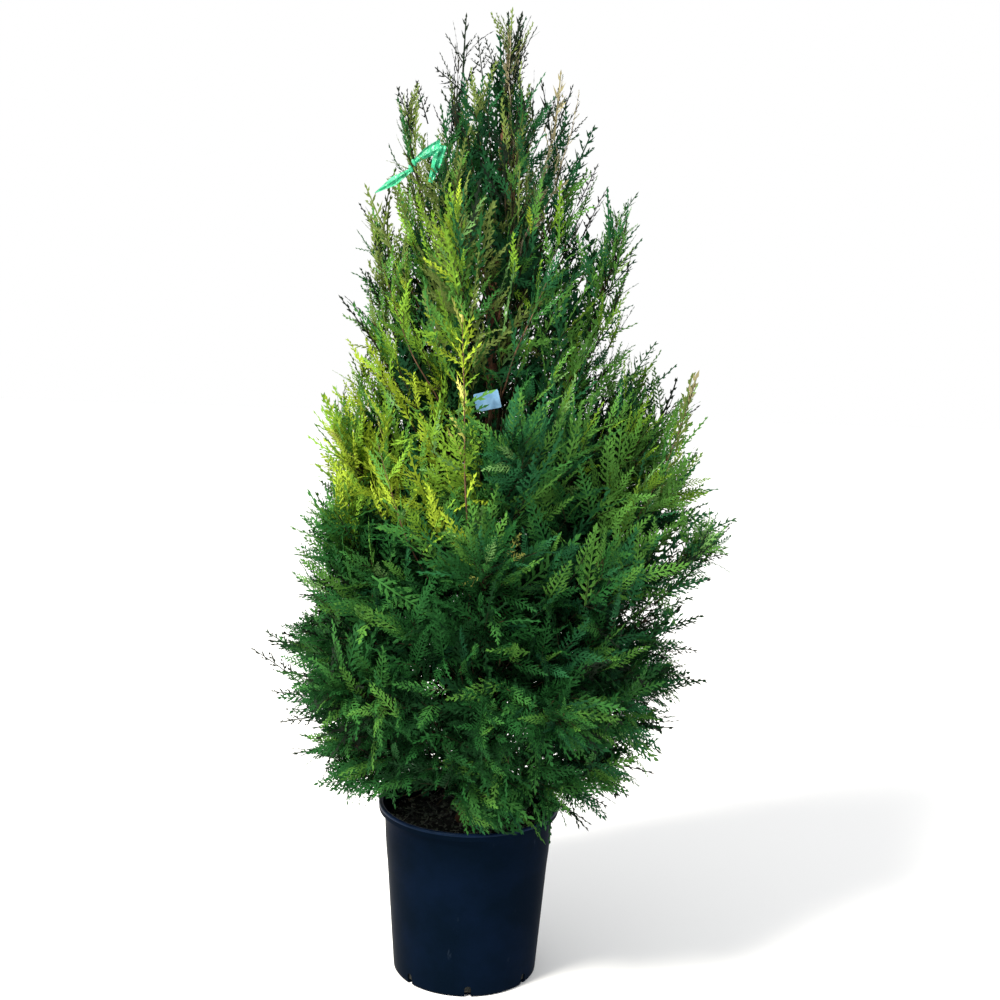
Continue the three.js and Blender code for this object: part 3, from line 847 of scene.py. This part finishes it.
def tintFor(place, depth, kind, rng):
    outside = 1 - min(1, max(0, depth) / 0.10)
    sunny, blue, warm = toneAt(place, outside)
    chance = rng.uniform()
    # the coarse sprays deep inside the crown get the dark shade or seaDark tint: painted shade
    if kind == "coarse":
        return "shade" if chance < 0.7 else "seaDark"
    if kind == "shoot":
        sunny -= 0.12 + 0.4 * abs(place.x)
    level = sunny + rng.normal(0, 0.09 + 0.1 * max(0, sunny - 0.4))
    right, back = place.x > 0.1, 5 * place.y
    # on the right and below the sunlit part no spray gets the brightest tints: painted shade
    if right or place.z < 0.92:
        level = min(level, 0.78 if place.z > 0.92 else 0.6)
    if kind == "shoot" and level < 0.1 + 0.25 * chance and (abs(place.x) > 0.2 or place.z > 1.3):
        return "blackish"
    greener = right or place.z < 0.85
    if level > tintLevels["lime"] and not right and chance < back:
        return "fresh" if chance < 0.6 * back - 0.1 else "lime"
    if level > tintLevels["sun"]:
        return "cream" if chance < 0.05 else "sun"
    if level > tintLevels["lime"]:
        return "fresh" if greener and chance > 0.4 else "lime"
    if warm and level > 0.12 and rng.uniform() < 0.5 * warm:
        return "olive"
    # now and then a bright spray gets the pale green tint, a painted sheen
    if level > tintLevels["fresh"]:
        return "pale" if chance > 0.9 else "fresh"
    if blue + rng.normal(0, 0.15) > 0.42:
        return "sea" if level > tintLevels["sea"] else "seaDark"
    if level > tintLevels["mid"]:
        return "fresh" if greener and chance > 0.88 else "mid"
    return "deep" if level > tintLevels["deep"] else "shade"


def growBranch(base, target, lift, steps=6):  # sets out level and turns up, or arches over, by its end
    middle = base.lerp(target, 0.55) - up * lift * (target - base).length
    return [bent((base, middle, target), step / (steps - 1)) for step in range(steps)]


def placeOn(places, share):
    at = share * (len(places) - 1)
    first = min(int(at), len(places) - 2)
    before, after = places[first], places[first + 1]
    return before.lerp(after, at - first), (after - before).normalized()


# dark hollows low in the crown, and how far sprays end inside or past the hull
hollow = {"below": 0.78, "depth": 0.02, "scale": 14, "level": -0.2, "share": 0.6}
trim = {"least": -0.032, "most": 0.018, "shoot": 0.030, "shootsWithin": 0.03, "tries": 7, "shorten": 0.86,
        "deep": 0.07, "deepLoss": 3, "outer": 0.04}


def addSpray(grown, rng, rule, base, way, flat, length, tierName, tint=None):
    kind = rule["kind"]
    atEdge = kind != "shoot" and beyondHull(base + way * length) > -trim["shootsWithin"]
    if atEdge and rng.uniform() < rule["shoots"]:
        kind = "shoot"
    spare = lerp(trim["least"], trim["most"], rng.uniform() ** 0.5)
    if kind == "shoot":
        spare = max(spare, 0) + trim["shoot"] * rng.uniform()
    for _ in range(trim["tries"]):
        tip = base + way * length
        if beyondHull(tip) < spare and not outsideBox(tip) and not hangsTooLow(tip):
            break
        length *= trim["shorten"]
    tip = base + way * length
    if hangsTooLow(tip):
        return
    depth = -beyondHull(tip)
    if depth > trim["deep"]:
        if rng.uniform() < 0.3 + trim["deepLoss"] * (depth - trim["deep"]):
            return
        kind = "coarse"
    if hidesSomething(base, tip, rng):
        return
    inHollow = tip.z < hollow["below"] and depth > hollow["depth"]
    if inHollow and noise.noise(tip * hollow["scale"]) < hollow["level"]:
        if rng.uniform() < hollow["share"]:
            return
    grown.append({
        "kind": kind, "shape": rng.integers(len(shapes[kind])), "base": base, "way": way, "flat": flat,
        "scale": length / sprays[kind]["length"], "bow": rule["bow"] + rng.normal(0, 0.25),
        "twist": rng.normal(0, 0.35), "tint": tint or tintFor(tip, depth, kind, rng),
        "tier": tierName, "outer": depth < trim["outer"]})


def flatFor(way, out, rule, rng):  # the upper side faces up, outwards or between, square to the stalk
    wish = lerp(up, out, rule["face"]) + Vector(rng.normal(0, rule["loose"], 3))
    wish = wish - way * wish.dot(way)
    return wish.normalized()


# outTurn: how far side sprays turn from pointing outwards, which shows their flat side; taper: how much
# shorter they get along a branch; ends: the turn and the share of length of the sprays at its tip
leafing = {"outTurn": 0.3, "scatter": 0.14, "angleSpread": 9, "length": (0.62, 1.0), "taper": 0.3,
           "ends": ((0, 1), (-0.8, 0.75), (0.8, 0.75)), "endScatter": 0.08, "endLength": (0.9, 1.1)}


def leafOut(places, rule, sprayLength, tierName, rng, grown):
    way = (places[-1] - places[0]).normalized()
    length = (places[-1] - places[0]).length
    out = places[-1] - trunkMiddle(places[-1].z)
    out.z = 0
    out = out.normalized() if out.length > 0.01 else Vector((0, -1, 0))
    flat = flatFor(way, out, rule, rng)
    pairs = max(1, int(length / rule["gap"]))
    side = 1
    for pair in range(pairs):
        spot, course = placeOn(places, (pair + 0.5 + rng.uniform(-0.2, 0.2)) / (pairs + 0.3))
        across = course.cross(flat).normalized()
        for _ in range(2 if pair % 2 else 1):
            side = -side
            lean = radians(rng.normal(rule["lean"], leafing["angleSpread"])) * side
            aim = course * cos(lean) + across * sin(lean) + up * rule["rise"] * 0.5
            aim = aim - out * aim.dot(out) * leafing["outTurn"]
            aim = (aim + Vector(rng.normal(0, leafing["scatter"], 3))).normalized()
            shorter = 1.05 - leafing["taper"] * pair / pairs
            addSpray(grown, rng, rule, spot, aim, flatFor(aim, out, rule, rng),
                     sprayLength * rng.uniform(*leafing["length"]) * shorter, tierName)
    spot, course = placeOn(places, 1)
    across = course.cross(flat).normalized()
    for turn, shorter in leafing["ends"]:
        lean = radians(rule["lean"]) * turn
        aim = course * cos(lean) + across * sin(lean) + up * rule["rise"] * 0.4
        aim = (aim + Vector(rng.normal(0, leafing["endScatter"], 3))).normalized()
        addSpray(grown, rng, rule, spot, aim, flatFor(aim, out, rule, rng),
                 sprayLength * shorter * rng.uniform(*leafing["endLength"]), tierName)


def growBough(limb, rng, grown, twigs):
    rule = growth[limb["tier"]]
    surface = surfaceOf(["mass_" + limb["node"]])
    line, start = limb["line"], limb["start"]
    end = 1 - 0.75 * rule["spray"] / ((line[2] - line[0]).length)
    thick = boughRadius[rule["kind"]]
    shares = np.linspace(max(0, start - 0.02), end, 12)
    radii = [lerp(thick, boughRadius["tip"], (s - shares[0]) / (end - shares[0])) for s in shares]
    twigs.append([(bent(line, s), radius) for s, radius in zip(shares, radii)])
    turn = rng.uniform(0, 2 * pi)
    count = rule["branches"]
    for number in range(count + 1):
        share = lerp(start + 0.02, end, (number / count) ** 0.9)
        last = number == count
        base = bent(line, share)
        aimShare = min(1, share + rule["lag"])
        origin, along = bent(line, aimShare), heading(line, aimShare)
        across = along.orthogonal().normalized()
        turn += goldenTurn + rng.normal(0, 0.15)
        around = Matrix.Rotation(turn, 3, along) @ across
        angle = radians(lerp(*rule["spread"], share) + rng.normal(0, 6))
        way = along if last else (along * cos(angle) + around * sin(angle)).normalized()
        hit = surface.ray_cast(origin, way)
        room = hit[3] if hit[0] is not None else 0.05
        sprayLength = rule["spray"] * rng.uniform(0.85, 1.12)
        length = max(0.012, room * rng.uniform(0.82, 1.02) - rule["hold"] * sprayLength)
        target = base + along * 0.01 if last else origin + way * length
        places = growBranch(base, target, 0 if last else rule["lift"])
        radii = np.linspace(branchRadius["share"] * thick, branchRadius["tip"], len(places))
        twigs.append(list(zip(places, radii)))
        leafOut(places, rule, sprayLength, limb["tier"], rng, grown)


# small branches straight from the trunk, each grown to the emptiest of a few places it could reach
fill = {"branches": 600, "from": 0.365, "to": 1.64, "choices": 14, "near": 10, "reach": (0.62, 1.02),
        "slope": (-0.05, 1.9), "lowest": 0.335, "widest": 0.40,
        "rules": (("fillLow", 0.62), ("fillMiddle", 1.05), ("fillHigh", 2))}


def tipOf(spray):
    return spray["base"] + spray["way"] * (0.6 * sprays[spray["kind"]]["length"] * spray["scale"])


def growFill(rng, grown, twigs):
    tips = np.array([tipOf(spray) for spray in grown])
    for _ in range(fill["branches"]):
        emptiest = None
        for _ in range(fill["choices"]):
            while True:
                z = rng.uniform(fill["from"], fill["to"])
                turn = rng.uniform(0, 2 * pi)
                reach = hullReach(z, turn)
                if rng.uniform() < reach / fill["widest"]:
                    break
            out = Vector((cos(turn), sin(turn), 0))
            aim = trunkMiddle(z) + out * reach * lerp(*fill["reach"], sqrt(rng.uniform()))
            gaps = np.linalg.norm(tips - np.array(aim), axis=1)
            room = np.partition(gaps, fill["near"])[:fill["near"]].mean()
            if emptiest is None or room > emptiest[0]:
                emptiest = (room, aim, out)
        _, aim, out = emptiest
        rule = growth[next(name for name, top in fill["rules"] if aim.z < top)]
        sprayLength = rule["spray"] * rng.uniform(0.85, 1.12)
        away = (aim - trunkMiddle(aim.z)).length
        slope = lerp(*fill["slope"], (aim.z - fill["from"]) / (fill["to"] - fill["from"]))
        base = trunkMiddle(max(fill["lowest"], aim.z - slope * away))
        target = aim - (aim - base).normalized() * 0.5 * sprayLength
        places = growBranch(base, target, rule["lift"])
        thick = 0.0013 + 0.0036 * away
        twigs.append(list(zip(places, np.linspace(thick, 0.0006, len(places)))))
        before = len(grown)
        leafOut(places[2:], rule, sprayLength, "fill", rng, grown)
        if len(grown) > before:
            tips = np.concatenate([tips, [tipOf(spray) for spray in grown[before:]]])


# branches that show by themselves: their line from the trunk, where their leaves begin, their colours
features = table(("line", "leaves", "pairs", "spray", "kind", "thick", "skin", "tints"), (
    ("plume", ((0.005, 0, 0.60), (-0.005, -0.42, 0.80), (-0.032, -0.165, 1.245)),
     0.64, 15, 0.062, "finger", 0.0030, "red", ("sun", "lime", "sun", "cream")),
    ("leftStem", ((0.01, 0, 0.66), (-0.09, -0.26, 0.76), (-0.165, -0.20, 1.03)),
     0.74, 9, 0.09, "slender", 0.0028, "red", ("lime", "sun", "fresh")),
    ("rightStem", ((0.02, 0, 1.00), (0.02, -0.20, 1.10), (0.105, -0.16, 1.30)),
     0.62, 9, 0.09, "slender", 0.0026, "red", ("mid", "sea")),
    ("highLeftStem", ((0.02, 0, 0.98), (-0.10, -0.14, 1.08), (-0.165, -0.12, 1.31)),
     0.60, 9, 0.09, "slender", 0.0026, "red", ("lime", "fresh")),
    ("edgeStem", ((0.01, 0, 0.66), (0.25, -0.14, 0.70), (0.366, -0.09, 1.130)),
     0.66, 22, 0.062, "finger", 0.0026, "red", ("fresh", "mid", "olive")),
    ("dryLeft", ((0.045, 0, 1.30), (0.09, -0.08, 1.38), (0.1215, -0.07, 1.63)),
     0.34, 12, 0.042, "finger", 0.0022, "dry", ("dry", "dry", "shade")),
    ("dryRight", ((0.045, 0, 1.34), (0.12, -0.08, 1.40), (0.150, -0.06, 1.605)),
     0.50, 9, 0.040, "finger", 0.0018, "dry", ("blackish", "dry")),
    ("dryLeader", ((0.043, 0, 1.50), (0.030, -0.04, 1.58), (0.034, -0.03, 1.705)),
     0.30, 12, 0.044, "finger", 0.0022, "dry", ("dry", "olive", "blackish", "olive"))))
featureRule = {"bow": 0.1, "shoots": 0, "face": 0.8, "loose": 0.6}


def openTheirSight():
    for feature in features.values():
        for share in np.linspace(0.45, feature["leaves"], 6):
            openings.append((bent([Vector(point) for point in feature["line"]], share), 0.008, 0.6))


def growFeature(feature, rng, grown, twigs):
    line = [Vector(point) for point in feature["line"]]
    shares = np.linspace(0, 1, 26)
    twigs[feature["skin"]].append([(bent(line, s) + Vector((0.005 * sin(16 * s), 0, 0)) * (1 - s),
                                    feature["thick"] * (1 - 0.8 * s)) for s in shares])
    rule = {**featureRule, "kind": feature["kind"]}
    for number in range(feature["pairs"] * 2):
        share = lerp(feature["leaves"], 0.99, (number / (feature["pairs"] * 2)) ** 0.7)
        spot, course = bent(line, share), heading(line, share)
        turn = number * goldenTurn + rng.normal(0, 0.3)
        across = Matrix.Rotation(turn, 3, course) @ Vector((1, 0, 0))
        lean = radians(rng.normal(34, 6))
        aim = (course * cos(lean) + across * sin(lean)).normalized()
        flat = flatFor(aim, across, rule, rng)
        tint = feature["tints"][rng.integers(len(feature["tints"]))]
        length = feature["spray"] * rng.uniform(0.7, 1.15) * (1.25 - 0.5 * share)
        addSpray(grown, rng, rule, spot, aim, flat, length, "feature", tint)
    addSpray(grown, rng, rule, bent(line, 0.985), heading(line, 1), Vector((0, -1, 0)),
             0.8 * feature["spray"], "feature", feature["tints"][-1])


# single sprays that stand out: base, tip, kind, tint and bow
accents = (
    ((-0.055, -0.22, 0.486), (0.052, -0.27, 0.466), "wide", "fresh", 1.2),
    ((0.060, -0.24, 0.636), (-0.036, -0.29, 0.618), "wide", "fresh", 0.9),
    ((-0.030, -0.25, 0.623), (-0.122, -0.29, 0.633), "wide", "mid", 0.7),
    ((0.138, -0.22, 0.611), (0.250, -0.28, 0.614), "wide", "mid", 0.6),
    ((-0.170, -0.22, 0.808), (-0.059, -0.27, 0.746), "wide", "mid", 0.5),
    ((0.098, -0.24, 0.690), (0.038, -0.29, 0.707), "slender", "fresh", 0.7),
    ((0.000, -0.12, 0.430), (0.012, -0.205, 0.352), "wide", "mid", 0.9),
    ((0.070, -0.12, 0.440), (0.100, -0.200, 0.358), "wide", "deep", 0.9),
    ((0.050, -0.11, 0.430), (0.060, -0.200, 0.368), "wide", "mid", 0.9),
    ((-0.300, -0.04, 0.550), (-0.392, -0.040, 0.628), "comb", "blackish", -0.2),
    ((-0.290, -0.02, 0.590), (-0.372, -0.020, 0.650), "comb", "shade", -0.2),
    ((-0.270, -0.05, 0.535), (-0.362, -0.050, 0.540), "comb", "blackish", 0.3),
    ((-0.260, -0.05, 0.500), (-0.345, -0.060, 0.490), "comb", "blackish", 0.4),
    ((0.360, -0.02, 0.830), (0.458, -0.020, 0.882), "comb", "deep", -0.2),
    ((0.365, -0.04, 0.800), (0.446, -0.040, 0.822), "comb", "blackish", 0.2),
    ((0.310, -0.04, 0.605), (0.405, -0.030, 0.588), "comb", "blackish", 0.3),
    ((0.310, -0.02, 0.660), (0.398, -0.020, 0.690), "comb", "shade", -0.1),
    ((0.310, -0.03, 0.640), (0.402, -0.030, 0.640), "comb", "blackish", 0.1),
    ((0.300, -0.02, 0.690), (0.388, -0.020, 0.738), "comb", "deep", 0.2),
    ((0.343, -0.05, 1.002), (0.362, -0.08, 1.141), "slender", "olive", 0.1),
    ((0.322, -0.05, 1.012), (0.342, -0.08, 1.102), "slender", "fresh", -0.1),
    ((0.352, -0.06, 1.078), (0.369, -0.08, 1.138), "finger", "dry", 0.1),
    ((-0.216, -0.05, 0.977), (-0.272, -0.08, 1.091), "slender", "lime", -0.1),
    ((0.203, 0.02, 0.389), (0.299, 0.02, 0.326), "comb", "shade", 0.4),
    ((0.178, 0.00, 0.365), (0.259, 0.00, 0.321), "comb", "blackish", 0.3),
    ((0.313, -0.02, 0.663), (0.407, -0.03, 0.702), "slender", "shade", 0.1),
    ((0.307, -0.02, 0.557), (0.420, -0.03, 0.583), "slender", "shade", 0.2),
    ((0.330, -0.03, 1.010), (0.378, -0.020, 1.118), "shoot", "lime", 0.0),
    ((0.345, -0.02, 0.990), (0.398, -0.020, 1.060), "shoot", "fresh", 0.0),
    ((-0.037, -0.20, 1.086), (0.015, -0.20, 1.123), "finger", "fresh", 0.2),
    ((-0.033, -0.20, 1.073), (0.009, -0.20, 1.098), "finger", "mid", -0.2),
    ((0.048, -0.26, 0.846), (0.073, -0.29, 0.901), "comb", "cream", 0.3),
    ((0.056, -0.26, 0.850), (0.085, -0.29, 0.876), "comb", "cream", -0.2),
    ((0.014, -0.26, 0.824), (-0.022, -0.29, 0.817), "comb", "cream", 0.4),
)
# the same at the crown's outline: base across and up, tip across and up, kind, tint and bow
outlineAccents = (
    (-0.045, 1.628, -0.042, 1.727, "antler", "blackish", 0.1),
    (-0.047, 1.651, -0.074, 1.697, "antler", "blackish", -0.1),
    (-0.044, 1.667, -0.023, 1.696, "antler", "blackish", 0.1),
    (-0.032, 1.592, -0.098, 1.644, "comb", "blackish", -0.5),
    (-0.011, 1.622, -0.021, 1.693, "comb", "blackish", 0.1),
    (0.014, 1.626, -0.008, 1.692, "comb", "blackish", -0.1),
    (0.028, 1.617, 0.051, 1.734, "antler", "blackish", -0.1),
    (0.032, 1.646, 0.054, 1.707, "antler", "blackish", 0.1),
    (0.039, 1.607, 0.063, 1.668, "comb", "blackish", 0.2),
    (0.027, 1.607, 0.034, 1.708, "antler", "dry", 0.1),
    (0.111, 1.507, 0.092, 1.627, "antler", "blackish", 0.1),
    (0.112, 1.527, 0.121, 1.639, "antler", "dry", 0.1),
    (0.117, 1.547, 0.142, 1.617, "antler", "blackish", 0.1),
    (0.116, 1.527, 0.157, 1.586, "antler", "blackish", -0.2),
    (0.130, 1.430, 0.182, 1.551, "comb", "seaDark", 0.1),
    (0.156, 1.417, 0.190, 1.488, "comb", "blackish", 0.1),
    (0.168, 1.366, 0.203, 1.455, "comb", "blackish", -0.1),
    (0.198, 1.340, 0.251, 1.450, "comb", "deep", -0.2),
    (0.195, 1.247, 0.256, 1.333, "comb", "seaDark", -0.1),
    (-0.122, 1.519, -0.153, 1.606, "comb", "blackish", 0.1),
    (-0.102, 1.547, -0.123, 1.619, "comb", "blackish", -0.1),
    (-0.156, 1.322, -0.206, 1.442, "comb", "olive", 0.2),
    (-0.148, 1.278, -0.189, 1.343, "comb", "blackish", 0.2),
    (-0.168, 1.243, -0.216, 1.302, "comb", "shade", -0.2),
    (0.254, 1.112, 0.302, 1.189, "comb", "deep", 0.1),
    (0.226, 1.189, 0.263, 1.248, "comb", "shade", 0.1),
)
accentRule = {"face": 0.85, "loose": 0.3, "baseDepth": -0.010, "tipDepth": -0.030}


def addAccents(rng, grown):
    depths = accentRule["baseDepth"], accentRule["tipDepth"]
    rows = [*accents, *(((x, depths[0], z), (tipX, depths[1], tipZ), *looks)
                        for x, z, tipX, tipZ, *looks in outlineAccents)]
    for base, tip, kind, tint, bow in rows:
        base, tip = Vector(base), Vector(tip)
        way = (tip - base).normalized()
        out = Vector((0.3 * base.x, base.y - 0.12, 0)).normalized()
        grown.append({
            "kind": kind, "shape": rng.integers(len(shapes[kind])), "base": base, "way": way,
            "flat": flatFor(way, out, accentRule, rng),
            "scale": (tip - base).length / sprays[kind]["length"], "bow": bow,
            "twist": rng.normal(0, 0.2), "tint": tint, "tier": "feature", "outer": True})


def placedSpray(spray):  # the shape's corners bowed, twisted and carried to their place
    spots = shapes[spray["kind"]][spray["shape"]][0] * spray["scale"]
    whole = sprays[spray["kind"]]["length"] * spray["scale"]
    x, y, z = spots.T
    z = z - 1.6 * x * x / whole  # the side twigs droop a little
    bow = spray["bow"] if abs(spray["bow"]) > 0.02 else 0.02
    radius, bendAt = whole / bow, bow * y / whole
    y, z = (radius + z) * np.sin(bendAt), z * np.cos(bendAt) - radius * (1 - np.cos(bendAt))
    spin = spray["twist"] * y / whole
    x, z = x * np.cos(spin) + z * np.sin(spin), z * np.cos(spin) - x * np.sin(spin)
    way, flat = np.array(spray["way"]), np.array(spray["flat"])
    across = np.cross(way, flat)
    return np.array(spray["base"]) + np.outer(x, across) + np.outer(y, way) + np.outer(z, flat)


def joinSprays(name, group, replaced):
    spots, corners, tints, first = [], [], [], 0
    for spray in group:
        placed = placedSpray(spray)
        faces = shapes[spray["kind"]][spray["shape"]][1]
        spots.append(placed)
        corners.append(faces + first)
        tints.append(np.full(len(faces), leafNames.index(spray["tint"])))
        first += len(placed)
    spots, corners, tints = np.concatenate(spots), np.concatenate(corners), np.concatenate(tints)
    mesh = bpy.data.meshes.new(name)
    mesh.vertices.add(len(spots))
    mesh.vertices.foreach_set("co", spots.ravel())
    mesh.loops.add(corners.size)
    mesh.loops.foreach_set("vertex_index", corners.ravel())
    mesh.polygons.add(len(corners))
    mesh.polygons.foreach_set("loop_start", np.arange(0, corners.size, 3))
    mesh.polygons.foreach_set("material_index", tints)
    mesh.update(calc_edges=True)
    addPiece(name, mesh, leafMaterials, replaced, "foliage")
    return len(corners)


foliage = {"seed": 11, "largestPiece": 190000, "stalkShare": 0.45, "labelClear": 0.030}
twigSkins = table(("material", "piece"), (
    ("brown", twigSkin, "twigs"), ("red", redTwigSkin, "redTwigs"), ("dry", dryTwigSkin, "dryTwigs")))


def stalkOf(spray):  # the brown lower part of a spray's stalk, just behind its leaves
    whole = sprays[spray["kind"]]["length"] * spray["scale"]
    base, way, flat = spray["base"], spray["way"], spray["flat"]
    return [(base - flat * 0.0008, 0.0011), (base + way * 0.4 * whole - flat * 0.0012, 0.0005)]


def makeCrown(limbs):
    rng = np.random.default_rng(foliage["seed"])
    grown, twigs = [], {skin: [] for skin in twigSkins}
    openTheirSight()
    for limb in limbs:
        growBough(limb, rng, grown, twigs["brown"])
    growFill(rng, grown, twigs["brown"])
    del openings[1:]  # what was placed one by one may stand anywhere but before the label
    for feature in features.values():
        growFeature(feature, rng, grown, twigs)
    addAccents(rng, grown)
    twigs["brown"] += [stalkOf(spray) for spray in grown
                       if spray["outer"] and rng.uniform() < foliage["stalkShare"]]
    twigs["brown"] = [run for run in twigs["brown"] if not crossesSight(
        [place for place, _ in run], label["middle"], foliage["labelClear"])]
    print("sprays grown:", len(grown))
    total = 0
    for tier in [*tiers, "leader", "fill", "feature"]:
        mine = [spray for spray in grown if spray["tier"] == tier]
        size = sum(len(shapes[spray["kind"]][spray["shape"]][1]) for spray in mine)
        parts = -(-size // foliage["largestPiece"])
        masses = ["mass_" + limb["node"] for limb in limbs if limb["tier"] == tier]
        for part in range(parts):
            chunk = mine[len(mine) * part // parts:len(mine) * (part + 1) // parts]
            made = joinSprays(f"leaves{tier.capitalize()}{part + 1}", chunk, [] if part else masses)
            print(f"leaves {tier} {part + 1}: {made} triangles")
            total += made
    for skin, runs in twigs.items():
        mesh = tubes(twigSkins[skin]["piece"], runs, 4)
        print(skin, "twigs:", len(mesh.polygons), "faces")
        addPiece(twigSkins[skin]["piece"], mesh, [twigSkins[skin]["material"]], [], "bark")
    print("leaves:", total, "triangles")


def makeLabel():
    width, thick = label["width"], label["thick"]
    bm = bmesh.new()
    bmesh.ops.create_cube(bm, size=1, matrix=Matrix.Diagonal((width, thick, label["height"], 1)))
    corners = [edge for edge in bm.edges if abs(edge.verts[0].co.y - edge.verts[1].co.y) > 1e-6]
    bmesh.ops.bevel(bm, geom=corners, offset=label["corner"], segments=5, affect="EDGES", profile=0.5,
                    material=-1)
    rims = [edge for edge in bm.edges if len({round(face.normal.y) for face in edge.link_faces}) > 1]
    bmesh.ops.bevel(bm, geom=rims, offset=0.2 * thick, segments=2, affect="EDGES", profile=0.5, material=-1)
    for step in range(1, label["steps"]):
        at = width * (step / label["steps"] - 0.5)
        everything = bm.verts[:] + bm.edges[:] + bm.faces[:]
        bmesh.ops.bisect_plane(bm, geom=everything, plane_co=(at, 0, 0), plane_no=(1, 0, 0))
    for vert in bm.verts:  # the card has curled a little forwards at its ends
        vert.co.y -= label["curl"] * (2 * vert.co.x / width) ** 2
    turn = Matrix.Translation(label["middle"]) @ Matrix.Rotation(radians(label["tilt"]), 4, "Y")
    bmesh.ops.transform(bm, matrix=turn, verts=bm.verts)
    bmesh.ops.recalc_face_normals(bm, faces=bm.faces)
    addPiece("labelCard", meshFrom(bm, "labelCard", False), [labelCard], ["label"], "label")
    x, y, z = label["middle"]
    twigRun = [((x - 0.012, y + 0.09, z - 0.10), 1.5), ((x, y + 0.03, z - 0.062), 1.25),
               ((x + 0.005, y + 0.006, z - 0.034), 1.0), ((x + 0.005, y + 0.006, z + 0.010), 0.8)]
    run = [(place, label["twig"] * size) for place, size in twigRun]
    addPiece("labelTwig", tubes("labelTwig", [run], 12), [twigSkin], [], "bark")


def bandOf(line, widths):  # a strip of film along three places, creased lengthwise
    bm = bmesh.new()
    bmesh.ops.create_grid(bm, x_segments=tape["steps"], y_segments=tape["lanes"], size=0.5)
    start, middle, end = [Vector((x, tape["depth"], z)) for x, z in line]
    points = (start, middle * 2 - (start + end) * 0.5, end)
    for vert in bm.verts:
        share, aside = vert.co.x + 0.5, vert.co.y
        width = np.interp(share, (0, 0.5, 1), widths)
        across = heading(points, share).cross(Vector((0, 1, 0)))
        crease = tape["fold"] * (abs((aside + 0.5) * 2.6 % 2 - 1) - 0.5) * min(1, width / 0.015)
        ripple = 0.0007 * sin(23 * share + 7 * aside)
        vert.co = bent(points, share) + across * aside * width + Vector((0, crease + ripple, 0))
    bmesh.ops.solidify(bm, geom=bm.faces[:], thickness=tape["thick"])
    bmesh.ops.recalc_face_normals(bm, faces=bm.faces)
    return meshFrom(bm, "band")


def makeTape():
    bm = bmesh.new()
    for line, widths in tape["bands"]:
        band = bandOf(line, widths)
        bm.from_mesh(band)
        bpy.data.meshes.remove(band)
    for x, z in tape["knot"]:  # the two turns round the shoot
        turn = Matrix.Translation((x, tape["depth"] - 0.001, z))
        turn = turn @ Matrix.Rotation(radians(tape["knotTurn"]), 4, "Y")
        loop = bmesh.ops.create_uvsphere(bm, u_segments=16, v_segments=10, radius=tape["knotRadius"],
                                         matrix=turn @ Matrix.Diagonal((1.5, 0.8, 0.7, 1)))
        for vert in loop["verts"]:
            vert.co += Vector((0, 1, 0)) * noise.noise(vert.co * 300) * 0.001
    addPiece("tapeBands", meshFrom(bm, "tapeBands", False), [tapePlastic], ["tape"], "tape")


makeCrown(limbs)
makeLabel()
makeTape()
print("crown, label and tape made")
